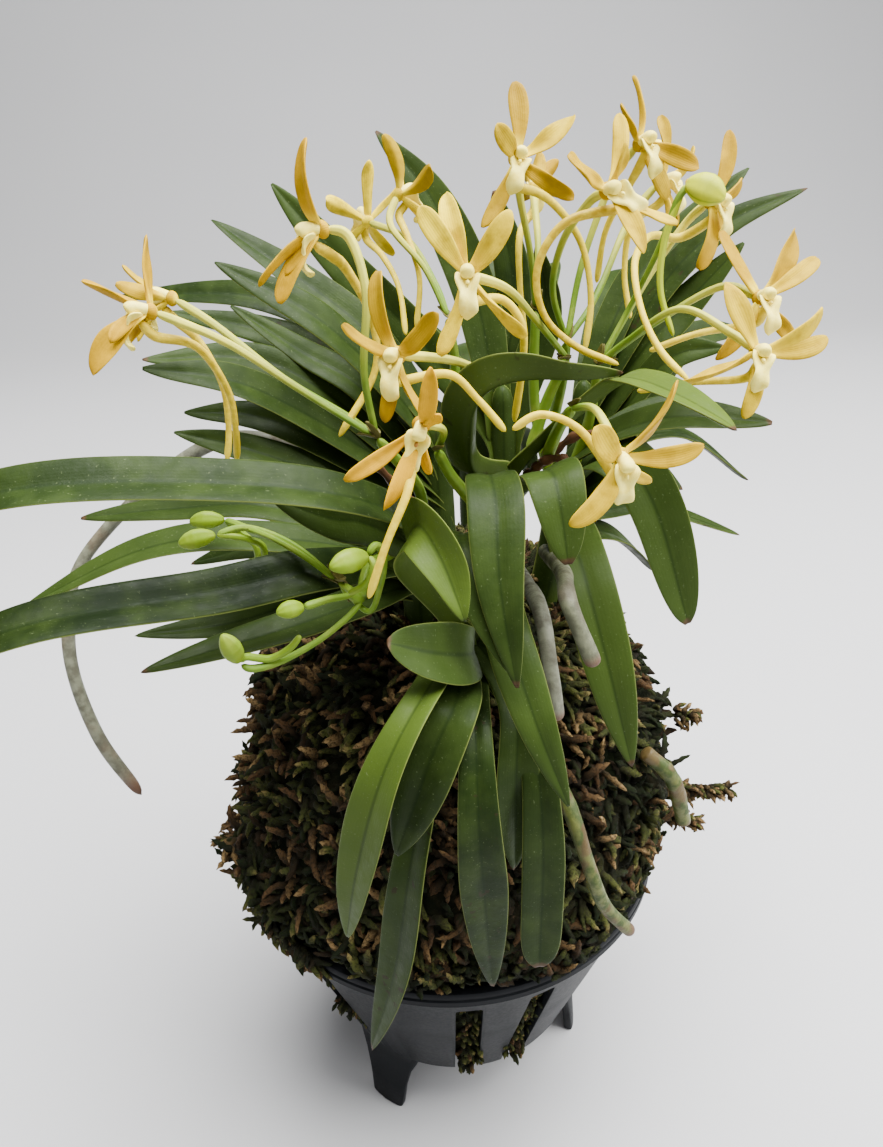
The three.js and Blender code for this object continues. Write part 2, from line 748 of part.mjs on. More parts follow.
// Five tepals round a small hub, in one skin: neighbours share the corner between their roots
function petalsSolid(bloom) {
  const skin = new Skin();
  const turns = bloom.tepals.map((degrees) => (degrees + 360) % 360).sort((a, b) => a - b);
  const at = (degrees, front) => skin.corner(
    inBloom(bloom, Math.sin(radians(degrees)) * hubRadius, Math.cos(radians(degrees)) * hubRadius, front));
  const corners = turns.map((degrees, i) => {
    const next = i + 1 < turns.length ? turns[i + 1] : turns[0] + 360;
    return at((degrees + next) / 2, hubFront);
  });
  const crests = turns.map((degrees) => at(degrees, hubFront + hubDepth / 2));
  const keels = turns.map((degrees) => at(degrees, hubFront - hubDepth / 2));
  const frontMiddle = skin.corner(inBloom(bloom, 0, 0, hubFront + hubDepth / 2 + 0.1));
  const backMiddle = skin.corner(inBloom(bloom, 0, 0, hubFront - hubDepth / 2 - 0.1));
  turns.forEach((degrees, i) => {
    const before = corners.at(i - 1);
    const root = [before, crests[i], corners[i], keels[i]];
    const curve = tepalCurve(bloom, degrees);
    const { right, top } = bloomAxes(bloom);
    const turn = radians(degrees);
    const outward = right.multiplyScalar(Math.sin(turn)).addScaledVector(top, Math.cos(turn));
    const sideways = new THREE.Vector3().crossVectors(outward, bloomAxes(bloom).front);
    const rows = [root, ...bladeRings(curve, sideways, tepalShape).map((ring) => skin.ring(ring))];
    for (let row = 0; row + 1 < rows.length; row++) skin.bridge(rows[row], rows[row + 1]);
    skin.gather(rows.at(-1), skin.corner(curve.getPoint(1)));
    skin.triangles.push(frontMiddle, crests[i], before, frontMiddle, corners[i], crests[i]);
    skin.triangles.push(backMiddle, before, keels[i], backMiddle, keels[i], corners[i]);
  });
  return skin.solid();
}

// The hub's round outline, grown to trim what meets its back
function hubRound(bloom, grow) {
  const back = hubFront - hubDepth / 2 - 0.1 - grow;
  const ends = [back, 0].map((front) => inBloom(bloom, 0, 0, front).toArray());
  return strand(ends, () => hubRadius, 6, 1, grow);
}

// The column's tip stands out of the face; behind its foot the strand runs on as the spur
function columnAndSpur(bloom) {
  const columnTip = inLip(bloom, 0, 0.4, 3.8).toArray();
  const columnFoot = inLip(bloom, 0, -1.3, 1.5).toArray();
  const throat = inLip(bloom, 0, -3.8, -0.9).toArray();
  const radiusAt = (t) => (t < 0.12 ? 1.15 : spurRadius * (1.2 - 0.7 * t + 0.35 * t * t));
  return strand([columnTip, columnFoot, throat, ...bloom.spur], radiusAt, 4, 9);
}

function lip(bloom) {
  const curve = new THREE.CatmullRomCurve3([
    inLip(bloom, 0, -0.6, 1.3),
    inLip(bloom, 0, -2.6, 3.4),
    inLip(bloom, 0, -5, 4.2),
    inLip(bloom, 0, -lipLength, 3.4),
  ], false, 'catmullrom', 0.5);
  const leftward = inLip(bloom, -1, 0, 0).sub(point(bloom.at));
  const shape = {
    stations: [0, 0.4, 0.85],
    halfWidth: (t) => (lipWidth / 2) * (t < 0.5 ? 0.6 + t : 1.05 - 0.45 * t),
    fold: (t) => 0.5 - 0.4 * t,
    thick: lipThick,
  };
  return loft(bladeRings(curve, leftward, shape), curve.getPoint(1));
}

const lipSolid = (bloom) => fuse([lip(bloom), columnAndSpur(bloom)]);

// Spray
const bloomNamed = (name) => blooms.find((bloom) => bloom.name === name);

function bud([from, to, radius]) {
  const start = point(from);
  const end = point(to);
  const middle = start.clone().lerp(end, 0.5).toArray();
  const swell = (t) => radius * (0.25 + 0.8 * Math.sin(Math.PI * (0.1 + 0.82 * t)));
  return strand([start.toArray(), middle, end.toArray()], swell, 5, 3);
}

function pedicel(spray, [name, ...points], grow = 0) {
  const start = spray.stalk.at(-1);
  const ends = name === 'bud' ? [] : [inBloom(bloomNamed(name), 0, 0, -1).toArray()];
  return strand([start, ...points, ...ends], () => pedicelRadius, 4, 1 + 2 * points.length, grow);
}

function sprayStrands(spray, grow = 0) {
  return [
    strand(spray.stalk, (t) => stalkRadius - 0.3 * t, 5, 3, grow),
    ...spray.pedicels.map((row) => pedicel(spray, row, grow)),
  ];
}

function spraySolid(spray, stems) {
  const body = fuse([...sprayStrands(spray), ...spray.buds.map(bud)]);
  const flowering = spray.pedicels.filter(([name]) => name !== 'bud');
  const hubs = flowering.map(([name]) => hubRound(bloomNamed(name), clearance));
  return fuse([body.subtract(wasm.Manifold.union([...stems, ...hubs]))]);
}

// Root
function rootSolid([, radius, ...points], grow = 0) {
  const steps = 2 * points.length + 1;
  return strand(points, (t) => radius * (t > 0.97 ? 0.45 : 1 - 0.1 * t), 6, steps, grow);
}

// Meshes
const materials = {
  plastic: new THREE.MeshStandardMaterial({ color: 0x2c3036, roughness: 0.5, metalness: 0 }),
  moss: new THREE.MeshStandardMaterial({ color: 0x4a4420, roughness: 1, metalness: 0 }),
  leaf: new THREE.MeshStandardMaterial({ color: 0x3d6b2c, roughness: 0.45, metalness: 0 }),
  stalk: new THREE.MeshStandardMaterial({ color: 0xb9c27a, roughness: 0.5, metalness: 0 }),
  petal: new THREE.MeshStandardMaterial({ color: 0xe9bd6c, roughness: 0.5, metalness: 0 }),
  lip: new THREE.MeshStandardMaterial({ color: 0xf3e9c2, roughness: 0.5, metalness: 0 }),
  root: new THREE.MeshStandardMaterial({ color: 0x8f9079, roughness: 0.8, metalness: 0 }),
};

function meshOf(name, solid, material) {
  const { numProp, vertProperties, triVerts } = solid.getMesh();
  const positions = [];
  for (let i = 0; i < vertProperties.length; i += numProp) {
    positions.push(vertProperties[i], vertProperties[i + 1], vertProperties[i + 2]);
  }
  const geometry = new THREE.BufferGeometry();
  geometry.setAttribute('position', new THREE.Float32BufferAttribute(positions, 3));
  geometry.setIndex(Array.from(triVerts));
  geometry.computeVertexNormals();
  const mesh = new THREE.Mesh(geometry, material);
  mesh.name = name;
  return mesh;
}

const plant = new THREE.Group();
plant.name = 'wind_orchid_in_basket';

const grownStems = shoots.map((shoot) => stemSolid(shoot, clearance));
const grownRoots = roots.map((row) => rootSolid(row, clearance));
const grownStrands = sprays.flatMap((spray) => sprayStrands(spray, clearance));

plant.add(meshOf('basket', basket(), materials.plastic));
plant.add(meshOf('moss_mound', mossMound([...grownStems, ...grownRoots]), materials.moss));
for (const shoot of shoots) {
  const solid = shootSolid(shoot, [...grownStrands, ...grownRoots]);
  plant.add(meshOf(shoot.name, solid, materials.leaf));
}
for (const spray of sprays) plant.add(meshOf(spray.name, spraySolid(spray, grownStems), materials.stalk));
for (const bloom of blooms) {
  plant.add(meshOf(`petals_${bloom.name}`, petalsSolid(bloom), materials.petal));
  plant.add(meshOf(`lip_${bloom.name}`, lipSolid(bloom), materials.lip));
}
for (const row of roots) {
  const solid = fuse([rootSolid(row).subtract(wasm.Manifold.union(grownStems))]);
  plant.add(meshOf(row[0], solid, materials.root));
}

// The origin lies on the floor under the middle of the whole object
const bounds = new THREE.Box3().setFromObject(plant);
const middle = bounds.getCenter(new THREE.Vector3());
plant.position.set(-middle.x, -middle.y, -bounds.min.z);
plant.updateMatrixWorld(true);

export default plant;
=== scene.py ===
# Wind orchid in a slotted basket pot: the looks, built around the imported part
import math
import bpy
import numpy as np
from mathutils import Matrix, Vector


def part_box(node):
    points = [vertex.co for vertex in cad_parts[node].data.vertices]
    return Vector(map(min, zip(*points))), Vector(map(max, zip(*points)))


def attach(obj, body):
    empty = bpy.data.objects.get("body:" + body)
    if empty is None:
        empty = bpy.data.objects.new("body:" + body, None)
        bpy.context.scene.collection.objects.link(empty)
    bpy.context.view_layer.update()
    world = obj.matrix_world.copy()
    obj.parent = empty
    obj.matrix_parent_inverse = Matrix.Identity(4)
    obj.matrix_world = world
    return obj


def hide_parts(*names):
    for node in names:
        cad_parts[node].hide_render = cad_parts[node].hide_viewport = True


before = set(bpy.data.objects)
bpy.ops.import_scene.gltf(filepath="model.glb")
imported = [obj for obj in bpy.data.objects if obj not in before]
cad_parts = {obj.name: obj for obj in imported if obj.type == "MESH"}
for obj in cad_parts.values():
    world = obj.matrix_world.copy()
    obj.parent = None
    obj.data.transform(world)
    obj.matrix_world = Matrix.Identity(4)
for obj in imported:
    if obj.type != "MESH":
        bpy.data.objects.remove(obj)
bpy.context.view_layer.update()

mm = 0.001   # all places are in mm, measured from the pot's axis at the floor
fullTurn = 2 * math.pi
up = np.array([0.0, 0.0, 1.0])
potLow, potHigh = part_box("basket")
potAxis = np.array([(potLow.x + potHigh.x) / 2, (potLow.y + potHigh.y) / 2, 0.0])
seeds = {"rough": 77, "tufts": 31, "under": 3, "loose": 8, "shoots": 40, "blooms": 200, "sprays": 400,
         "roots": 600}   # the last four count on from there, piece by piece


# Camera, where the photograph was taken from
camera = {"at": (0, -157, 211), "pitchDown": 27.6, "roll": -2.2, "focal": 28.25, "sensor": 36}


def addCamera(spec):
    data = bpy.data.cameras.new("camera")
    data.lens = spec["focal"]
    data.sensor_width = spec["sensor"]
    data.clip_start = 0.01
    obj = bpy.data.objects.new("camera", data)
    bpy.context.scene.collection.objects.link(obj)
    place = potAxis + np.array(spec["at"]) * mm
    tilt = Matrix.Rotation(math.radians(90 - spec["pitchDown"]), 4, "X")
    roll = Matrix.Rotation(math.radians(spec["roll"]), 4, "Z")
    obj.matrix_world = Matrix.Translation(place) @ tilt @ roll
    bpy.context.scene.camera = obj


addCamera(camera)
print("camera set")


# Modelling helpers
def seeded(key, step=0):
    return np.random.default_rng(seeds[key] + step)


def pick(*objs):   # all else deselected, the first one active
    for obj in bpy.context.selected_objects:
        obj.select_set(False)
    for obj in objs:
        obj.select_set(True)
    if objs:
        bpy.context.view_layer.objects.active = objs[0]


def unit(vector):
    return vector / max(np.linalg.norm(vector), 1e-9)


def spin(radius, turn, z):   # places round the pot's axis; a turn of 0 faces the front
    return np.stack([radius * np.sin(turn), -radius * np.cos(turn), z], axis=-1)


def polar(radius, degrees, z):
    return spin(radius, math.radians(degrees), z)


def outAndAcross(degrees):
    return polar(1, degrees, 0), polar(1, degrees + 90, 0)


def smooth(low, high, value):
    t = np.clip((value - low) / (high - low), 0, 1)
    return t * t * (3 - 2 * t)


def steps(stations, values):   # straight from one value to the next
    return lambda v: np.interp(v, stations, values)


def swell(most, power):   # thickest half-way, closed at both ends
    return lambda v: most * np.sin(math.pi * np.clip(v, 0, 1)) ** power


def roundEnds(v, start, end):   # 0 at both tips, 1 between them
    a = 1 - np.clip(v / start, 0, 1)
    b = 1 - np.clip((1 - v) / end, 0, 1)
    return np.sqrt(1 - a ** 2) * np.sqrt(1 - b ** 2)


def narrowed(v, most, taper, sharp):   # full as far as most, then drawn in to the tip
    return (1 - np.clip((v - most) / (1 - most), 0, 1) ** taper) ** sharp * roundEnds(v, 0.02, 0.0001)


def curveAt(points, ts):   # places on a smooth curve through the points
    pts = np.array(points, float)
    pts = np.vstack([2 * pts[0] - pts[1], pts, 2 * pts[-1] - pts[-2]])
    spans = len(points) - 1
    p = np.clip(np.asarray(ts, float), 0, 1) * spans
    k = np.minimum(p.astype(int), spans - 1)
    w = (p - k)[:, None]
    a, b, c, d = pts[k], pts[k + 1], pts[k + 2], pts[k + 3]
    ta, tb = (c - a) / 2, (d - b) / 2
    return b + ta * w + (3 * (c - b) - 2 * ta - tb) * w ** 2 + (2 * (b - c) + ta + tb) * w ** 3


def evenCurve(points, count):   # the same curve, its stations spread evenly along its length
    fine = np.linspace(0, 1, 160)
    places = curveAt(points, fine)
    reach = np.concatenate([[0], np.cumsum(np.linalg.norm(np.diff(places, axis=0), axis=1))])
    return curveAt(points, np.interp(np.linspace(0, reach[-1], count), reach, fine))


def framesOf(centres, sideways=None):   # side and normal at every station
    tangents = np.gradient(centres, axis=0)
    tangents /= np.linalg.norm(tangents, axis=1)[:, None] + 1e-12
    side = up if abs(tangents[0][2]) < 0.9 else np.array([1.0, 0, 0])
    sides = []
    for tangent in tangents:
        start = side if sideways is None else sideways
        side = unit(start - tangent * np.dot(start, tangent))
        sides.append(side)
    return np.array(sides), np.cross(sides, tangents)


def finishMesh(obj, merge=0.004):   # doubles out first, then the faces turned outwards
    pick(obj)
    bpy.ops.object.mode_set(mode="EDIT")
    bpy.ops.mesh.select_all(action="SELECT")
    bpy.ops.mesh.remove_doubles(threshold=merge * mm)
    bpy.ops.mesh.normals_make_consistent(inside=False)
    bpy.ops.object.mode_set(mode="OBJECT")
    bpy.ops.object.shade_smooth()


def applyModifier(obj, kind, **settings):
    pick(obj)
    modifier = obj.modifiers.new(kind.lower(), kind)
    for key, value in settings.items():
        setattr(modifier, key, value)
    bpy.ops.object.modifier_apply(modifier=modifier.name)


def placesOf(obj):
    co = np.zeros(len(obj.data.vertices) * 3)
    obj.data.vertices.foreach_get("co", co)
    return co.reshape(-1, 3)


def rolledGrid(name, around, along, placeAt):
    # a grid is added and rolled into a skin: u runs round the section, v along the piece
    pick()
    bpy.ops.mesh.primitive_grid_add(x_subdivisions=around, y_subdivisions=along, size=1)
    obj = bpy.context.object
    obj.name = name
    u, v = (placesOf(obj)[:, :2] + 0.5).T
    row = np.clip(np.rint(v * along).astype(int), 0, along)
    obj.data.vertices.foreach_set("co", (placeAt(u * fullTurn, v, row) * mm + potAxis).ravel())
    finishMesh(obj)
    return obj


def strand(name, points, radiusAt, around, along, lobes=0, lobeDepth=0.0):
    # round strand; its two ends close to a point
    centres = evenCurve(points, along + 1)
    sides, normals = framesOf(centres)
    radii = radiusAt(np.linspace(0, 1, along + 1))

    def placeAt(angle, v, row):
        reach = radii[row] * (1 + lobeDepth * np.cos(lobes * angle))
        return (centres[row] + sides[row] * (np.cos(angle) * reach)[:, None]
                + normals[row] * (np.sin(angle) * reach)[:, None])

    return rolledGrid(name, around, along, placeAt)


def blade(name, points, sideways, spec, around, along):
    # flat, folded section with rounded margins, swept from its root to its tip
    centres = evenCurve(points, along + 1)
    sides, normals = framesOf(centres, sideways)
    stations = np.linspace(0, 1, along + 1)
    halves, thicks, folds = (spec[key](stations) for key in ("half", "thick", "fold"))
    twist = (np.radians(spec.get("twist", 0)) * stations ** 1.5)[:, None]
    turned = sides * np.cos(twist) + normals * np.sin(twist)
    raised = normals * np.cos(twist) - sides * np.sin(twist)

    def placeAt(angle, v, row):
        c, s = np.cos(angle), np.sin(angle)
        x = -np.sign(c) * np.abs(c) ** 1.25   # across: -1 at one margin, 1 at the other
        half = halves[row]
        soft = np.sqrt(x * x + 0.03) - math.sqrt(0.03)
        y = folds[row] * soft * half
        y += spec.get("curl", 0) * x ** 4 * half
        y += spec.get("wave", 0) * np.sin(v * spec.get("waves", 9) + spec.get("phase", 0)) * x
        y += np.sign(s) * np.abs(s) ** 0.8 * thicks[row] / 2
        y -= spec.get("groove", 0) * np.exp(-(x / 0.12) ** 2) * smooth(0, 0.1, v) * smooth(1, 0.9, v)
        return centres[row] + turned[row] * (x * half)[:, None] + raised[row] * y[:, None]

    return rolledGrid(name, around, along, placeAt)


def setTones(obj, **tones):   # each one number over the whole mesh, or one per point
    for name, value in tones.items():
        layer = obj.data.attributes.new(name, "FLOAT", "POINT")
        values = np.ones(len(obj.data.vertices)) * value
        layer.data.foreach_set("value", values.astype(np.float32))


def joinAll(objs, name):
    pick(*objs)
    if len(objs) > 1:
        bpy.ops.object.join()
    obj = bpy.context.view_layer.objects.active
    obj.name = obj.data.name = name
    return obj


def settle(obj, material, slotName, *nodes):   # material on, then onto the part
    obj.data.materials.clear()
    obj.data.materials.append(material)
    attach(obj, "root")
    if nodes:
        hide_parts(*nodes)


def growTogether(pieces, name, material, slotName, node):   # one smooth piece in the node's place
    whole = joinAll(pieces, name)
    applyModifier(whole, "SUBSURF", levels=1, render_levels=1)
    settle(whole, material, slotName, node)


# Materials
class Finish:   # short hand for a node material; over() lays one more colour on its tint
    def __init__(self, name, roughness, gloss=0.5):
        self.material = bpy.data.materials.new(name)
        self.material.use_nodes = True
        self.nodes = self.material.node_tree.nodes
        self.links = self.material.node_tree.links
        self.shader = self.nodes["Principled BSDF"]
        self.shader.inputs["Roughness"].default_value = roughness
        self.shader.inputs["Specular IOR Level"].default_value = gloss

    def node(self, kind, inputs=None, **settings):
        node = self.nodes.new(kind)
        for key, value in settings.items():
            setattr(node, key, value)
        for key, value in (inputs or {}).items():
            if isinstance(value, bpy.types.NodeSocket):
                self.links.new(value, node.inputs[key])
            else:   # three numbers are a colour
                node.inputs[key].default_value = (*value, 1) if isinstance(value, tuple) else value
        return node

    def attribute(self, name):
        return self.node("ShaderNodeAttribute", attribute_name=name).outputs["Fac"]

    def uv(self):
        place = self.node("ShaderNodeTexCoord").outputs["UV"]
        return self.node("ShaderNodeSeparateXYZ", {0: place}).outputs[:2]

    def math(self, operation, a, b=0.0, clamp=False):
        return self.node("ShaderNodeMath", {0: a, 1: b}, operation=operation, use_clamp=clamp).outputs[0]

    def times(self, a, b):
        return self.math("MULTIPLY", a, b)

    def plus(self, a, b):
        return self.math("ADD", a, b)

    def size(self, a):
        return self.math("ABSOLUTE", a)

    def wave(self, value, rate):
        return self.math("SINE", self.times(value, rate))

    def noise(self, scale, detail=4.0, rough=0.55):   # on the object's own coordinates
        place = self.node("ShaderNodeTexCoord").outputs["Object"]
        inputs = {"Vector": place, "Scale": scale, "Detail": detail, "Roughness": rough}
        return self.node("ShaderNodeTexNoise", inputs).outputs["Fac"]

    def band(self, value, low, high, start=0.0, end=1.0):
        return self.node("ShaderNodeMapRange", {0: value, 1: low, 2: high, 3: start, 4: end},
                         interpolation_type="SMOOTHSTEP").outputs[0]

    def clouds(self, low, high, share, *noise):
        return self.band(self.noise(*noise), low, high, 0, share)

    def acrossBlade(self, marginWidth, marginShare, underShare):
        # how far along and across the blade, and the shares of its margins and its underside
        u, v = self.uv()
        turn = self.times(u, fullTurn)
        side = self.math("SINE", turn)
        margin = self.band(self.size(side), 0, marginWidth, marginShare, 0)
        return v, self.math("COSINE", turn), margin, self.band(side, -0.05, 0.05, underShare, 0)

    def mix(self, factor, a, b):
        return self.node("ShaderNodeMix", {0: factor, 6: a, 7: b}, data_type="RGBA").outputs[2]

    def over(self, factor, colour):
        self.tint = self.mix(factor, self.tint, colour)

    def roughness(self, socket):
        self.links.new(socket, self.shader.inputs["Roughness"])

    def done(self):
        self.links.new(self.tint, self.shader.inputs["Base Color"])
        return self.material

    def bumped(self, height, strength, distance):
        inputs = {"Height": height, "Strength": strength, "Distance": distance * mm}
        self.links.new(self.node("ShaderNodeBump", inputs).outputs[0], self.shader.inputs["Normal"])
        return self.done()


def leafFinish():
    f = Finish("waxyLeaf", 0.42, 0.055)
    v, across, margin, under = f.acrossBlade(0.3, 0.75, 0.35)
    tone, veins = f.attribute("tone"), f.wave(across, 48)
    # tone: each leaf's own green, set darker for leaves that hang in shadow and lighter for leaves in full
    # light, so partly painted shade and light
    f.tint = f.mix(tone, (0.0052, 0.0112, 0.0024), (0.0275, 0.0475, 0.0075))
    f.over(f.band(tone, 0.9, 1.0, 0, 0.8), (0.062, 0.098, 0.012))   # the palest tones: the youngest leaves, and leaves painted lighter where they stand in full light
    f.over(f.clouds(0.35, 0.7, 0.4, 160, 3), (0.035, 0.057, 0.0105))
    f.over(f.band(v, 0.02, 0.3, 0.55, 0), (0.056, 0.086, 0.012))   # paler at the root
    f.over(under, (0.031, 0.0495, 0.011))
    f.over(f.times(f.plus(veins, 1), 0.015), (0.007, 0.0155, 0.003))
    f.over(f.band(f.size(across), 0.0, 0.16, 0.5, 0), (0.0052, 0.0125, 0.0024))   # darker along the midrib: its own colour, with painted shade in the groove
    f.over(margin, (0.156, 0.187, 0.04))
    f.over(f.clouds(0.66, 0.74, 0.35, 2600, 2), (0.1248, 0.156, 0.0702))   # pale specks
    f.over(f.times(f.clouds(0.64, 0.7, 1, 420, 2), f.attribute("spotted")), (0.0195, 0.014, 0.0062))
    tip = f.band(f.plus(v, f.times(f.noise(700), 0.03)), 0.985, 1.0)
    f.over(f.times(tip, f.attribute("dryTip")), (0.0546, 0.0312, 0.0156))
    f.roughness(f.band(f.noise(500), 0.3, 0.7, 0.34, 0.5))
    return f.bumped(f.plus(f.times(veins, 0.05), f.noise(1400, 3)), 0.2, 0.2)


def petalFinish():
    f = Finish("goldenPetal", 0.5, 0.06)
    v, across, margin, under = f.acrossBlade(0.35, 0.42, 0.3)
    veins = f.wave(across, 26)
    f.tint = f.mix(f.band(v, 0.0, 0.3), (0.90, 0.72, 0.03), (0.37, 0.226, 0.0))   # pale at the heart
    f.over(f.band(v, 0.55, 1.0, 0, 0.6), (0.26, 0.143, 0.0))
    f.over(under, (0.33, 0.205, 0.0))
    f.over(f.attribute("pale"), (0.88, 0.68, 0.01))
    f.over(f.attribute("warm"), (0.66, 0.335, 0.0))
    f.over(f.times(f.plus(veins, 1), 0.02), (0.25, 0.14, 0.0))
    f.over(margin, (0.80, 0.50, 0.0))
    f.over(f.times(f.clouds(0.4, 0.7, 0.5, 420, 3), f.band(v, 0.15, 0.5)), (0.22, 0.13, 0.0))
    return f.bumped(f.plus(f.times(veins, 0.15), f.noise(1500, 3)), 0.25, 0.2)


def lipFinish():
    f = Finish("creamLip", 0.5, 0.2)
    v, spur = f.uv()[1], f.attribute("spur")
    f.tint = f.mix(spur, (0.92, 0.80, 0.17), (0.66, 0.50, 0.01))
    f.over(f.times(spur, f.attribute("warm")), (0.42, 0.26, 0.0))
    f.over(f.band(v, 0.7, 1.0, 0, 0.35), (0.80, 0.64, 0.03))
    f.over(f.clouds(0.42, 0.7, 0.55, 900, 3), (0.82, 0.64, 0.035))
    f.over(f.attribute("mark"), (0.30, 0.10, 0.015))
    return f.bumped(f.noise(2200, 3), 0.25, 0.15)


def stalkFinish():
    f = Finish("freshStalk", 0.45, 0.12)
    u, v = f.uv()
    ripe = f.math("SUBTRACT", f.band(v, 0.1, 0.85), f.attribute("green"), True)
    bud, ribs = f.attribute("bud"), f.wave(u, 6 * fullTurn)
    f.tint = f.mix(ripe, (0.10, 0.18, 0.010), (0.66, 0.60, 0.07))
    f.over(bud, (0.13, 0.205, 0.003))
    # painted light: the bud that stands in the light is painted a brighter yellow-green
    f.over(f.attribute("lit"), (0.46, 0.50, 0.0))
    f.over(f.clouds(0.4, 0.75, 0.4, 300, 3), (0.26, 0.30, 0.04))
    seams = f.band(f.size(f.wave(u, 1.5 * fullTurn)), 0, 0.2, 0.75, 0)   # between a bud's three outer tepals
    f.over(f.times(seams, bud), (0.15, 0.24, 0.01))
    f.over(f.times(f.plus(ribs, 1), 0.06), (0.12, 0.2, 0.04))
    f.over(f.attribute("dry"), (0.07, 0.032, 0.014))
    return f.bumped(f.plus(ribs, f.noise(1500, 3)), 0.15, 0.2)


def rootFinish():
    f = Finish("silverRoot", 0.6, 0.3)
    v, grain = f.uv()[1], f.noise(420, 5)
    f.tint = f.mix(f.band(grain, 0.35, 0.65), (0.075, 0.073, 0.048), (0.15, 0.156, 0.105))
    f.over(f.clouds(0.52, 0.7, 0.4, 130, 3), (0.11, 0.062, 0.033))
    fresh = f.mix(f.band(grain, 0.4, 0.6), (0.028, 0.045, 0.005), (0.085, 0.095, 0.02))
    fresh = f.mix(f.clouds(0.52, 0.6, 0.7, 170, 2), fresh, (0.075, 0.036, 0.012))
    f.over(f.attribute("fresh"), fresh)
    f.over(f.band(v, 0.93, 0.98, 0, 0.85), (0.10, 0.045, 0.024))   # brown tip
    f.roughness(f.band(grain, 0.3, 0.7, 0.68, 0.4))
    return f.bumped(f.noise(900, 5, 0.65), 0.5, 0.4)


def mossFinish():
    f = Finish("mossStrand", 0.9, 0.12)
    tone, along = f.attribute("tone"), f.attribute("along")
    brown = f.mix(f.band(tone, 0.0, 0.45), (0.0198, 0.0126, 0.0063), (0.088, 0.047, 0.019))
    brown = f.mix(f.band(tone, 0.45, 1.0), brown, (0.23, 0.145, 0.058))
    green = f.mix(f.band(tone, 0.1, 0.95), (0.0081, 0.0144, 0.0036), (0.0828, 0.0945, 0.0198))
    f.tint = f.mix(f.attribute("green"), brown, green)
    f.over(f.band(along, 0.15, 0.85, 0.9, 0), (0.0063, 0.0063, 0.0027))   # painted shade: dark at the root, where the strand is buried among the others
    # tan tips on the brighter strands: partly their dry colour, partly painted highlight where tufts stand
    # out
    f.over(f.times(f.band(along, 0.7, 1.0, 0, 0.5), f.band(tone, 0.3, 0.9)), (0.486, 0.3285, 0.1341))
    f.over(f.clouds(0.42, 0.66, 0.75, 2100, 3), (0.0144, 0.0126, 0.0063))
    return f.bumped(f.noise(3600, 4, 0.7), 1.0, 0.6)


def peatShadeFinish():
    f = Finish("mossHeart", 0.95, 0.05)
    # painted shade: the heart is kept near black, over the peat's own dark brown, for the shade deep among
    # the strands
    f.tint = f.mix(f.clouds(0.4, 0.65, 1, 260, 5), (0.003, 0.004, 0.0015), (0.016, 0.013, 0.006))
    f.over(f.clouds(0.45, 0.6, 0.7, 70, 3), (0.006, 0.009, 0.003))
    return f.bumped(f.noise(600, 6, 0.7), 1.0, 1.6)


def potFinish():
    f = Finish("darkPot", 0.38, 0.05)
    grain = f.noise(1400)
    f.tint = f.mix(f.clouds(0.35, 0.7, 1, 60, 3), (0.007, 0.0078, 0.009), (0.010, 0.011, 0.0125))
    f.over(f.clouds(0.62, 0.74, 0.25, 420, 4), (0.03, 0.027, 0.023))   # dust
    f.roughness(f.band(grain, 0.3, 0.7, 0.40, 0.46))
    return f.bumped(grain, 0.05, 0.1)


leafSkin, petalSkin, lipSkin, stalkSkin = leafFinish(), petalFinish(), lipFinish(), stalkFinish()
rootSkin, mossSkin, peatShadeSkin, potSkin = rootFinish(), mossFinish(), peatShadeFinish(), potFinish()
print("finishes made")


# Basket pot: a spun shell, three feet, and slots cut through its wall
pot = {"rimRadius": 45, "rimTop": 63.8, "rimBottom": 60, "wallTopRadius": 43.4, "wallTop": 59.2,
       "wallBottomRadius": 28.8, "wallBottom": 18, "wallMiddle": 40, "wallThick": 1.7, "floorHole": 8,
       "floorThick": 2, "sides": 168, "feet": (-37, 83, 203), "footTopHalf": 18, "footSoleHalf": 8.5,
       "footSole": 30, "footThick": 2.4, "footAround": 48, "shortSlot": -44, "longSlots": (3, 24),
       "slotWidth": 5.4, "slotTop": 55, "slotDepth": 26, "slotMiddle": 34, "shortBottom": 27}
sectors = (0, 120, 240)


def wallRadius(z):
    slope = (pot["wallTopRadius"] - pot["wallBottomRadius"]) / (pot["wallTop"] - pot["wallBottom"])
    return pot["wallBottomRadius"] + slope * (z - pot["wallBottom"])


def potShell():
    rim, top, low, middle = (pot[key] for key in ("rimRadius", "rimTop", "wallBottom", "wallMiddle"))
    thick, floor = pot["wallThick"], low + pot["floorThick"]
    ring = np.array([
        (pot["floorHole"], low), (wallRadius(low) - 0.4, low), (wallRadius(low), low + 0.4),
        (wallRadius(middle), middle), (pot["wallTopRadius"], pot["wallTop"]), (rim - 0.35, pot["rimBottom"]),
        (rim, pot["rimBottom"] + 0.4), (rim, 61.6), (rim - 0.3, 61.9), (rim - 0.3, 62.3), (rim, 62.6),
        (rim, top - 0.7), (rim - 0.2, top - 0.2), (rim - 0.7, top), (43.5, top), (43.1, top - 0.4),
        (wallRadius(pot["wallTop"]) - thick, pot["wallTop"]), (wallRadius(middle) - thick, middle),
        (wallRadius(floor) - thick, floor), (pot["floorHole"], floor), (pot["floorHole"], low)])
    return rolledGrid("pot", pot["sides"], len(ring) - 1,
                      lambda angle, v, row: spin(ring[row, 0], angle, ring[row, 1]))


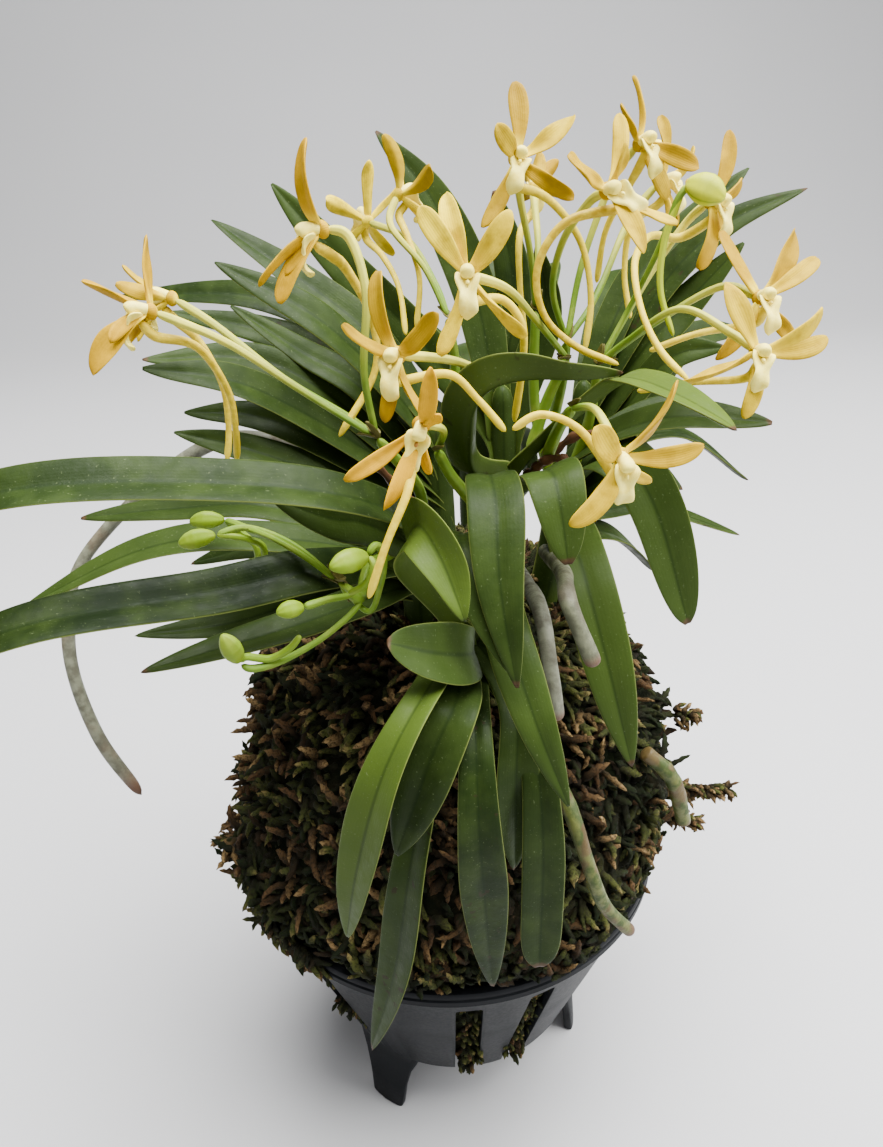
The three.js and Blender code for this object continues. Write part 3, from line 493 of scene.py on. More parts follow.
def potFoot(degrees):
    low, sole, plate, soleHalf = (pot[key] for key in ("wallBottom", "footSole", "footThick", "footSoleHalf"))
    outer = wallRadius(low)
    levels = np.array([   # height, half width in degrees, outer radius, thickness
        (0, 0, sole, 0), (0, soleHalf - 0.5, sole - 0.2, plate - 0.4), (0.4, soleHalf, sole, plate),
        (low - 11, 10.2, outer + 0.75, plate), (low - 5, 13.2, outer + 0.4, plate),
        (low - 1.5, 16.5, outer + 0.15, plate), (low + 0.6, pot["footTopHalf"], outer + 0.1, 2.2),
        (low + 6, pot["footTopHalf"] - 1, wallRadius(low + 6) - 0.45, 0.8),
        (low + 6, 0, wallRadius(low + 6) - 0.8, 0)])

    def placeAt(angle, v, row):
        z, half, reach, thick = levels[row].T
        c, s = np.cos(angle), np.sin(angle)
        x = np.sign(c) * np.abs(c) ** 0.5
        y = np.sign(s) * np.abs(s) ** 0.35
        return spin(reach - thick / 2 + y * thick / 2, np.radians(degrees + half * x), z)

    return rolledGrid("foot", pot["footAround"], len(levels) - 1, placeAt)


def slotCutter(degrees, bottom):
    pick()
    middle = polar(pot["slotMiddle"], degrees, (pot["slotTop"] + bottom) / 2) * mm + potAxis
    bpy.ops.mesh.primitive_cube_add(size=1, location=middle, rotation=(0, 0, math.radians(degrees)))
    cutter = bpy.context.object
    cutter.scale = (pot["slotWidth"] * mm, pot["slotDepth"] * mm, (pot["slotTop"] - bottom) * mm)
    bpy.ops.object.transform_apply(location=True, rotation=True, scale=True)
    applyModifier(cutter, "BEVEL", width=0.9 * mm, segments=4)
    return cutter


def combine(obj, operation, other):
    applyModifier(obj, "BOOLEAN", operation=operation, object=other, solver="EXACT")
    bpy.data.objects.remove(other)


def buildPot():
    shell = potShell()
    for degrees in pot["feet"]:
        combine(shell, "UNION", potFoot(degrees))
    cutters = []
    for turn in sectors:
        cutters.append(slotCutter(pot["shortSlot"] + turn, pot["shortBottom"]))
        cutters += [slotCutter(degrees + turn, pot["wallBottom"] - 4) for degrees in pot["longSlots"]]
    combine(shell, "DIFFERENCE", joinAll(cutters, "slots"))
    finishMesh(shell)
    applyModifier(shell, "BEVEL", width=0.22 * mm, segments=2, limit_method="ANGLE",
                  angle_limit=math.radians(50))
    pick(shell)
    bpy.ops.object.shade_smooth_by_angle(angle=math.radians(40))
    shell.name = "basketPot"
    settle(shell, potSkin, "pot_plastic", "basket")


buildPot()
print("pot built")


# Moss: a dark heart that fills the pot and stands tall above it, painted near black for the shade among the
# strands, and strands laid all over it
moss = {"profile": [(42.4, 64.6), (46.4, 69), (47.2, 80), (44, 97), (36.5, 113), (26, 123), (12, 127),
                    (0, 128)],
        "top": 128, "lean": 4, "lumps": 90, "reliefMost": 4.5, "reliefDrop": 1.6, "rightTuck": 2.2,
        "heartAround": 132, "heartRows": 44, "heartInside": 2.25, "heartBottom": 20.6, "heartTuck": 1.9,
        "underStrands": 4600, "curledStrands": 1500, "tufts": 380, "tuftReach": 4.6, "overRim": (-88, -45),
        "rimSpan": (-88, -36), "rimStrands": 420, "slotStrands": 60, "tuftStrands": 45, "looseDensity": 9,
        "looseBundles": [   # turn, height, length and droop
            (88, 73, 20, 0), (84, 70, 12, 4), (80, 98, 5, -1), (-86, 64.6, 9, -1), (-92, 67, 8, 3)],
        "bundleRoot": 44.5, "nubs": 0.45, "nubsUnder": 0.75, "slotTufts": [(24, 24), (-44, 36), (3, 22)]}
profile3 = [(r, 0, z) for r, z in moss["profile"]]


def mossLumps():   # turn, place up the mound, reach and height of each lump
    state, values = 11, []
    for i in range(4 * moss["lumps"]):
        state = (state * 1664525 + 1013904223) % 2 ** 32
        values.append(state / 2 ** 32)
    return [(a * 360, 0.1 + b * 0.9, 4 + c * 5, 1 + d * 2.8) for a, b, c, d in np.reshape(values, (-1, 4))]


lumps = mossLumps()


def leanAt(z):
    return moss["lean"] * (z - pot["rimTop"]) / (moss["top"] - pot["rimTop"])


def moundPoints(degrees, along):   # place, outward and downward directions on the mound
    turn, along = np.radians(degrees), np.clip(along, 0, 1)
    base = curveAt(profile3, along)
    step = curveAt(profile3, np.clip(along + 0.01, 0, 1)) - curveAt(profile3, np.clip(along - 0.01, 0, 1))
    step /= np.linalg.norm(step, axis=1)[:, None] + 1e-9
    away = spin(1, turn, 0 * turn)
    centre = away * base[:, :1] + up * base[:, 2:]
    relief = 0
    for lumpTurn, lumpAlong, reach, height in lumps:
        middle = curveAt(profile3, [lumpAlong])[0]
        far = np.linalg.norm(centre - polar(middle[0], lumpTurn, middle[2]), axis=1)
        relief = relief + height * np.exp(-(far / reach) ** 2)
    relief = (np.minimum(relief, moss["reliefMost"]) - moss["reliefDrop"]) * np.minimum(1, along * 8)
    outward = away * step[:, 2:] - up * step[:, :1]
    centre = centre + outward * relief[:, None]
    centre[:, 0] += leanAt(base[:, 2])
    return centre, outward, away * -step[:, :1] - up * step[:, 2:]


def mossHeart():
    rows, inside = moss["heartRows"], moss["heartInside"]
    fill = [(0, moss["heartBottom"]), *((wallRadius(z) - inside, z) for z in (moss["heartBottom"], 40, 59)),
            (42.0, pot["rimTop"])]
    full = len(fill)

    def placeAt(angle, v, row):
        degrees = np.degrees(angle)
        places, outward, downward = moundPoints(degrees, (row - full) / rows)
        tuck = moss["heartTuck"] + moss["rightTuck"] * np.maximum(0, np.sin(angle)) ** 2
        places -= outward * (tuck * np.clip((row - full) / 6, 0, 1))[:, None]
        rough = (np.sin(degrees * 0.61 + row * 1.7) * np.sin(row * 2.3 + degrees * 0.17)
                 + np.sin(degrees * 1.37 + row * 3.1) * np.sin(row * 1.1 - degrees * 0.43)) * 0.45
        places += outward * (rough * (row < full + rows - 1) * (row > full))[:, None]
        places[row == full + rows] = moundPoints([0.0], [1.0])[0][0] - up * moss["heartTuck"]
        radius, z = np.array(fill)[np.minimum(row, full - 1)].T
        return np.where((row < full)[:, None], spin(radius, angle, z), places)

    return rolledGrid("mossHeart", moss["heartAround"], full + rows, placeAt)


def mossSprig(around, widths):   # one scaly strand on the z axis, 1 long and 1 wide at its broadest
    rings = len(widths) - 1
    sprig = strand("sprig", [(0, 0, 0), (0, 0, 0.5), (0, 0, 1)],
                   steps(np.linspace(0, 1, rings + 1), widths), around, rings)
    places = (placesOf(sprig) - potAxis) / mm
    faces = [tuple(polygon.vertices) for polygon in sprig.data.polygons]
    bpy.data.objects.remove(sprig)
    return places, faces, np.arctan2(places[:, 1], places[:, 0])


plainSprig = mossSprig(4, [0, 0.9, 1, 0.8, 0.9, 0.55, 0])
scalySprig = mossSprig(5, [0, 0.85, 1, 0.88, 1, 0.84, 0.9, 0.7, 0.66, 0.4, 0])


def layStrands(name, sprig, rows):
    # every row: root, direction, bend direction, curl in radians, length, radius, tone, green
    places, faces, angle = sprig
    count, t = len(places), places[:, 2]
    rough = seeded("rough").uniform(0.76, 1.24, 997)
    allPlaces, allFaces = [], []
    for k, (root, direction, bend, curl, length, radius, tone, green) in enumerate(rows):
        direction = unit(direction)
        bend = unit(bend - direction * np.dot(bend, direction) + 1e-6)
        side = np.cross(direction, bend)
        width = radius * (1 + 0.25 * np.cos(angle * 2 + t * 31 + k))
        width = width * rough[(np.arange(count) * 7 + k * 13) % len(rough)]
        turn = (t * curl)[:, None]
        outer = bend * np.cos(turn) - direction * np.sin(turn)
        allPlaces.append(
            root + direction * (np.sin(turn) * length / curl) + bend * ((1 - np.cos(turn)) * length / curl)
            + side * (places[:, 0] * width)[:, None] + outer * (places[:, 1] * width * 0.85)[:, None])
        allFaces += [tuple(i + k * count for i in face) for face in faces]
    mesh = bpy.data.meshes.new(name)
    mesh.from_pydata(np.vstack(allPlaces) * mm + potAxis, [], allFaces)
    obj = bpy.data.objects.new(name, mesh)
    bpy.context.scene.collection.objects.link(obj)
    tones, greens = np.array([row[-2:] for row in rows]).T
    setTones(obj, tone=np.repeat(tones, count), green=np.repeat(greens, count), along=np.tile(t, len(rows)))
    finishMesh(obj, 0.0001)
    settle(obj, mossSkin, "moss")


def greenPart(degrees, height):   # greener low at the left and along the right, browner in the middle
    left = math.exp(-((degrees + 62) / 40) ** 2) * max(0.16, 0.85 - 2 * height)
    right = math.exp(-((degrees - 55) / 30) ** 2) * 0.5
    back = 0.45 * (abs(degrees) > 110)
    patch = 0.3 * math.sin(degrees * 0.09 + 1.3) * math.sin(height * 11 + degrees * 0.05)
    return 0.32 + left + right + back + patch


def spreadOver(draw, count):   # turns and places up the mound
    return draw(-180, 180, count), draw(0, 1, count) ** 0.9


def mossTufts():   # where the curled strands gather: place, tone and how green
    draw, count = seeded("tufts").uniform, moss["tufts"]
    turns, heights = spreadOver(draw, count)
    places = moundPoints(turns, heights * 0.92 + 0.02)[0]
    return places, draw(-0.42, 0.36, count), draw(-0.45, 0.45, count)


tuftPlaces, tuftTones, tuftGreens = mossTufts()


def mossRows(count, draw, under):
    turns, heights = spreadOver(draw, count)
    heights = heights * 0.9 + 0.02
    rows = []
    for degrees, height, root, outward, downward in zip(turns, heights, *moundPoints(turns, heights)):
        sideways = np.cross(outward, downward)
        far = np.linalg.norm(tuftPlaces - root, axis=1)
        tuft = int(np.argmin(far))
        toTuft = tuftPlaces[tuft] - root
        apart = min(1.0, far[tuft] / moss["tuftReach"])
        green = float(draw() < greenPart(degrees, height) + 0.45 * under + tuftGreens[tuft])
        nub = draw() < moss["nubsUnder" if under else "nubs"]   # many turn outwards and show a blunt end
        a = draw(0.7, 1.3) if nub else draw(0.0, 0.5)
        b, c = draw(-1, 1), draw(-0.6, 1.0)
        held = height < 0.2 and not moss["overRim"][0] < degrees < moss["overRim"][1]
        if held:   # only at the left does moss hang over the rim
            a, c = a * 0.3, draw(-1.0, -0.2)
        direction = outward * a + sideways * b + downward * c
        tuck = moss["rightTuck"] * max(0, math.sin(math.radians(degrees))) ** 2 * min(1, height * 4)
        if under:
            # painted shade: the under layer shows in the gaps between tufts and gets the dark tones
            length, radius, curl, tone = draw(3.2, 5), draw(0.6, 1.0), draw(0.2, 0.9), draw(0.0, 0.45)
            sunk = 2.1 + min(1, a) * 1.6 + tuck
        else:
            length, radius, curl = draw(4.4, 8), draw(0.6, 1.05), draw(0.5, 2.2)
            # painted light and shade: lighter near the middle of a tuft, darker out between tufts
            tone = min(1.0, max(0.0, draw(0.32, 0.8) + tuftTones[tuft] + 0.3 * (0.5 - apart)))
            if not held:   # strands fan out of the middle of their tuft
                direction = outward * (1.1 - 0.75 * apart) - toTuft * 0.28 + direction * 0.35
            sunk = 1.7 + 1.6 * (1 - apart) + 0.4 * apart + tuck
            root = root + toTuft * 0.15
        bend = outward * draw(-1.3, 0.4) + sideways * draw(-1, 1) + downward * draw(0, 0.8)
        if held:
            bend, sunk = -outward, 0.9
        rows.append((root - outward * sunk, direction, bend, curl, length, radius, tone, green))
    return rows


def looseRows():   # bundles that hang out at the sides, over the rim and through the slots
    draw = seeded("loose").uniform
    rows = []

    def add(root, direction, bend, curl, length, radius, tone, green):   # ranges, and the share of green
        spans = (draw(*span) for span in (curl, length, radius, tone))
        rows.append((root, direction, bend, *spans, float(draw() < green)))

    for degrees, z, length, droop in moss["looseBundles"]:
        away, across = outAndAcross(degrees)
        root = polar(moss["bundleRoot"], degrees, z) + (leanAt(z), 0, 0)
        for k in range(int(moss["looseDensity"] * length)):
            along = draw(0, 0.85)
            start = root + away * length * along + across * draw(-1.6, 1.6) * (1.1 - along)
            start = start + up * (draw(-1.4, 1.4) * (1.1 - along) - droop * along)
            direction = away * draw(0.2, 1) + across * draw(-0.7, 0.7) + up * draw(-0.6, 0.6)
            add(start, direction, -up, (0.3, 1.6), (2, 3.6), (0.4, 0.8), (0.4, 1), 0.2)
    for k in range(moss["rimStrands"]):
        degrees, drop = draw(*moss["rimSpan"]), draw(0, 1) ** 1.3
        away, across = outAndAcross(degrees)
        reach = pot["rimRadius"] + 0.6 - 1.5 * drop + draw(0, 1.2)
        root = polar(reach, degrees, 66.5 - 7 * drop * (1 - abs(degrees + 62) / 45))
        direction = away * draw(0, 0.5) + across * draw(-0.8, 0.8) - up * draw(0.3, 1)
        add(root, direction, -away, (0.3, 1.2), (3, 5.5), (0.5, 0.85), (0.1, 0.9), 0.85)
    slots = [(pot["shortSlot"], pot["shortBottom"] + 1)]
    slots += [(degrees, pot["wallBottom"] + 3) for degrees in pot["longSlots"]]
    for degrees, bottom in [(degrees + turn, bottom) for turn in sectors for degrees, bottom in slots]:
        away, across = outAndAcross(degrees)
        for k in range(moss["slotStrands"]):
            z = bottom + (pot["slotTop"] - 2 - bottom) * draw() ** 1.3
            root = polar(wallRadius(z) - draw(1.6, 3), degrees, z) + across * draw(-1.9, 1.9)
            direction = away * draw(0.1, 0.6) + across * draw(-0.5, 0.5) + up * draw(-1, 0.6)
            add(root, direction, -up, (0.3, 1.8), (2, 3.4), (0.45, 0.75), (0.2, 1), 0.85)
    for degrees, z in moss["slotTufts"]:
        away, across = outAndAcross(degrees)
        for k in range(moss["tuftStrands"]):
            root = polar(wallRadius(z) - 3 + draw(0, 3), degrees, z + draw(-2, 3)) + across * draw(-2, 2)
            direction = away * draw(0.3, 1) + across * draw(-0.6, 0.6) - up * draw(-0.3, 1)
            add(root, direction, -up, (0.3, 1.8), (2, 3.8), (0.4, 0.7), (0, 0.9), 0.7)
    return rows


def buildMoss():
    settle(mossHeart(), peatShadeSkin, "moss", "moss_mound")
    layStrands("mossUnder", plainSprig, mossRows(moss["underStrands"], seeded("under").uniform, True))
    for letter in "ABC":
        draw = np.random.default_rng(ord(letter)).uniform
        layStrands("mossCurled" + letter, scalySprig, mossRows(moss["curledStrands"], draw, False))
    layStrands("mossLoose", plainSprig, looseRows())


buildMoss()
print("moss laid")


# Leafy shoots: each leaf is its width and its places from the stem to the tip, the top leaf first
# A leaf's tone is partly its own green and partly painted light and shade: low for leaves in shadow, high for
# leaves in full light
shoots = {
    "shoot_front": {"face": (0, 0, 1), "tone": 0.6,
        "stem": [(9, -10, 119), (11, -12, 138), (12, -13, 157)], "leaves": [
        (7.6, [(26.4, -23, 171.6), (29.3, -28, 174), (31.8, -33, 174.2), (34.4, -38, 173.8),
              (37, -42, 172.8), (39.6, -45, 171.4)],
              {"face": (0.1, -0.2, 1), "fold": 0.3, "blunt": 1, "tone": 1.0}),
        (6.6, [(5.7, -22, 158.5), (4.9, -28, 167.5), (5.8, -30, 172.4), (8.6, -30.5, 175), (14, -30, 175.8),
              (21, -29, 175.2), (28.1, -28, 175.3)], {"face": (0, 0.45, 1), "fold": 1.3, "tone": 0.95}),
        (8.6, [(16, -32, 162), (17, -39, 161), (18, -44, 152)],
              {"face": (0.1, -1, 0.5), "blunt": 1, "tone": 0.88}),
        (8.4, [(8, -31, 161), (8, -41, 161), (8, -49, 152), (10, -54, 138)],
              {"face": (-0.1, -1, 0.6), "tone": 0.4}),
        (7.2, [(9, -40, 143), (12, -52, 134), (17.6, -56, 118)], {"face": (0, -1, 0.5), "tone": 0.75}),
        (7.4, [(3, -36, 154), (5, -47, 151), (10, -53, 139)], {"face": (0, -1, 0.6), "tone": 0.5})]},
    "shoot_front_low": {"face": (0, 0, 1), "tone": 0.6,
        "stem": [(3, -20, 108), (4, -29, 126), (4, -36, 139)], "leaves": [
        (7.6, [(-4, -41, 153), (-2.6, -46, 160.5), (0, -51, 158), (2.9, -55, 150)],
              {"face": (-0.1, -1, 0.7), "fold": 0.5, "tone": 1.0}),
        (9, [(4, -45, 139), (-1, -51, 143), (-8, -54, 147)],
              {"face": (0.2, -1, 0.8), "blunt": 1, "tone": 0.7}),
        (7, [(10, -46, 130), (10, -51, 120), (10, -50, 100)]),
        (7.2, [(-3, -54, 138), (-9, -61.4, 130), (-14, -61.4, 112), (-17, -58, 95)], {"tone": 0.96}),
        (7.4, [(4, -52, 130), (4, -59, 118), (5, -57, 97), (6, -54, 77)], {"tone": 0.15}),
        (8.4, [(1.6, -51, 135), (-2, -56, 129.8), (-5.2, -57, 121), (-8.6, -56, 110)], {"tone": 0.3}),
        (6.6, [(12, -46, 127), (14, -53, 112), (14, -53, 80)],
              {"face": (0, -1, 0.5), "torn": 1, "tone": 0.35}),
        (7.4, [(-1, -46, 125), (-6, -54, 108), (-10, -55, 84), (-16, -53, 60)],
              {"spotted": 0.8, "tone": 0.5})]},
    "shoot_left": {"face": (0, -0.4, 1), "tone": 0.5,
        "stem": [(-4, -10, 118), (-4, -13, 132), (-4, -16, 146)], "leaves": [
        (7.6, [(-9, -38, 160), (-26, -43, 166), (-56, -47, 168), (-84, -50, 160)],
              {"face": (0, -0.5, 1), "tone": 0.2}),
        (7.4, [(-12, -30, 154), (-16, -37, 158), (-24, -40, 163)], {"face": (0, -1, 0.8), "tone": 0.8}),
        (7, [(-28, -16, 151), (-45, -15, 151), (-62, -15, 150)]),
        (7, [(-28, -24, 149), (-47, -26, 149), (-68, -30, 141)]),
        (8.2, [(-18, -36, 149), (-33, -42, 149), (-58, -52, 150), (-84, -58, 140)],
              {"face": (0, -0.6, 1), "tone": 0.0}),
        (7, [(-16, -13, 139), (-31, -12, 142), (-46, -10, 138)]),
        (7, [(-24, -34, 138), (-46, -44, 137)]),
        (7, [(-24, -15, 132), (-39, -15, 128), (-56, -18, 128)])]},
    "shoot_back_left": {"face": (0, -0.95, 1), "tone": 0.35,
        "stem": [(0, 7, 121), (0, 9, 138), (0, 10, 158)], "leaves": [
        (7.5, [(-12, 16, 172), (-25, 22, 182), (-42, 28, 193)]),
        (8, [(-18, 5, 176), (-38, 8, 188)]),
        (7, [(-17, 24, 169), (-36, 33, 177), (-67, 40, 177)]),
        (7, [(-18, 16, 167), (-33, 20, 173), (-52, 22, 177)]),
        (7, [(-14, 12, 163), (-25, 14, 170), (-38, 16, 179)]),
        (7.5, [(-28, 10, 168), (-53, 5, 172)]),
        (7.5, [(-31, 2, 166), (-50, -5, 173)]),
        (7, [(-29, 5, 159), (-47, 5, 162)]),
        (7, [(-32, 0, 155), (-48, 0, 160)])]},
    "shoot_back": {"face": (0, 0, 1), "tone": 0.3,
        "stem": [(13, 20, 121), (14, 24, 140), (14, 25, 160)], "leaves": [
        (9, [(9, 31, 176), (1, 36, 194), (-10, 40, 207)],
              {"face": (0.2, -1, 0.2), "fold": 0.1, "tone": 0.45}),
        (7.4, [(17, 32, 176), (13, 33, 196)], {"face": (0.2, -1, 0.2)}),
        (7.4, [(23, 28, 172), (21, 27, 187)], {"face": (-0.2, -1, 0.2)}),
        (7.6, [(-2, 26, 168), (-16, 26, 183), (-30, 30, 199)], {"face": (0, -1, 0.5), "tone": 0.6}),
        (8, [(12, 46, 176), (6, 62, 186)]),
        (7.5, [(24, 46, 172), (30, 60, 178)]),
        (7.5, [(0, 46, 164), (-14, 62, 168)])]},
    "shoot_right_back": {"face": (0, -1, 0.8), "tone": 0.45,
        "stem": [(25, 15, 117), (29, 18, 138), (30, 20, 162)], "leaves": [
        (7, [(40, 28, 177), (51, 32, 187), (64, 36, 198)]),
        (6.6, [(44, 24, 176), (56, 25, 188), (71, 22, 195)]),
        (8, [(42, 20, 167), (50, 22, 175), (60, 22, 186)]),
        (7.5, [(38, 42, 172), (46, 58, 176)]),
        (7.5, [(44, 14, 165), (55, 10, 169)]),
        (7, [(52, 34, 163), (70, 44, 164)])]},
    "shoot_right": {"face": (0, -0.5, 1), "tone": 0.5,
        "stem": [(19, -2, 120), (22, -2, 136), (23, -2, 154)], "leaves": [
        (8, [(38, -13, 163), (54, -20, 164)]),
        (7, [(42, 4, 159), (59, 4, 156)]),
        (9, [(30, -14, 157), (36, -19, 150), (43, -22, 128)],
              {"face": (0, -1, 0.5), "blunt": 1, "tone": 0.88}),
        (7, [(36, -6, 152), (44, -8, 148)]),
        (8.4, [(22, -28, 146), (25, -40, 134), (29.5, -44, 115)], {"face": (0, -1, 0.5), "tone": 0.92}),
        (5.5, [(36, 14, 135), (48, 25, 130), (69, 28, 121)]),
        (7, [(35, 8, 132), (46, 14, 120)])]},
    "shoot_rear": {"face": (0, 0, 1), "tone": 0.4,
        "stem": [(8, 28, 114), (8, 36, 130), (8, 40, 148)], "leaves": [
        (7.5, [(6, 62, 158), (4, 80, 150)]),
        (7.5, [(-14, 56, 152), (-32, 64, 142)]),
        (7.5, [(26, 58, 154), (38, 70, 146)]),
        (7, [(4, 60, 142), (2, 70, 122)]),
        (7, [(20, 58, 138), (26, 66, 116)]),
        (7, [(-6, 56, 136), (-14, 63, 114)])]},
    "shoot_rear_right": {"face": (0, 0, 1), "tone": 0.4,
        "stem": [(28, 24, 112), (31, 31, 127), (33, 33, 143)], "leaves": [
        (7.5, [(50, 48, 149), (66, 56, 140)]),
        (7, [(54, 37, 143), (72, 36, 131)]),
        (7, [(42, 56, 142), (46, 70, 126)]),
        (7, [(50, 45, 130), (58, 49, 108)])]}}
leafForm = {"stemRadius": 3.4, "zone": 0.55, "thick": 1.15, "groove": 0.35, "widen": 1.06, "rows": 34,
            "around": 16}


def growLeaf(name, shoot, index, leafRow, draw):
    width, points, extra = (*leafRow, {})[:3]
    width = width * leafForm["widen"]
    along = 0.97 - leafForm["zone"] * index / len(shoot["leaves"])
    start, end = curveAt(shoot["stem"], [along])[0], np.array(points[-1], float)
    outward = unit((end - start) * (1, 1, 0))
    low = curveAt(shoot["stem"], [max(0.04, along - 0.32)])[0] + outward * leafForm["stemRadius"] * 0.45
    start = start + outward * leafForm["stemRadius"] * 0.7
    heading = unit(end - start) if "face" in extra else outward
    sideways = unit(np.cross(heading, extra.get("face", shoot["face"])))
    taper, most, sharp = draw(2.0, 2.7), draw(0.5, 0.62), 0.84
    cut = "blunt" in extra or "torn" in extra
    if cut:
        taper, most, sharp = 2.6, 0.6 if "blunt" in extra else 0.86, 0.6
    broadens = (0.3, 0.7) if "front" in name else (0.05, 0.42)
    spec = {"half": lambda v: width / 2 * (0.62 + 0.38 * smooth(*broadens, v))
            * narrowed(v, most, taper, sharp),
            "thick": lambda v: leafForm["thick"] * (1.25 - 0.6 * v) * roundEnds(v, 0.02, 0.012),
            "fold": lambda v: keel + 0.9 * smooth(0.34, 0.02, v),
            "groove": leafForm["groove"], "twist": draw(-10, 10), "curl": draw(-0.06, 0.1),
            "wave": draw(0.05, 0.25), "waves": draw(6, 11), "phase": draw(0, 6)}
    keel = extra.get("fold", 0.14 + draw(0, 0.14))
    leaf = blade(name, [low, start, *points], sideways, spec, leafForm["around"], leafForm["rows"])
    tone = extra.get("tone", np.clip(shoot["tone"] + draw(-0.22, 0.22), 0, 1))
    spotted = extra.get("spotted", (draw() < 0.2) * draw(0.3, 0.9))
    setTones(leaf, tone=tone, spotted=spotted, dryTip=cut or draw() < 0.55)
    return leaf


def growShoot(name, shoot, draw):
    stem = strand(name, shoot["stem"], lambda v: leafForm["stemRadius"] * roundEnds(v, 0.03, 0.05)
                  * (0.85 + 0.25 * np.sin(math.pi * v) - 0.3 * v), around=16, along=16)
    setTones(stem, tone=0.55, spotted=0.2, dryTip=0)
    leaves = [growLeaf(name, shoot, index, leafRow, draw) for index, leafRow in enumerate(shoot["leaves"])]
    growTogether([stem] + leaves, name.replace("_", "") + "Leaves", leafSkin, "leaf", name)


for step, (name, shoot) in enumerate(shoots.items()):
    growShoot(name, shoot, seeded("shoots", step).uniform)
print("leaves grown")


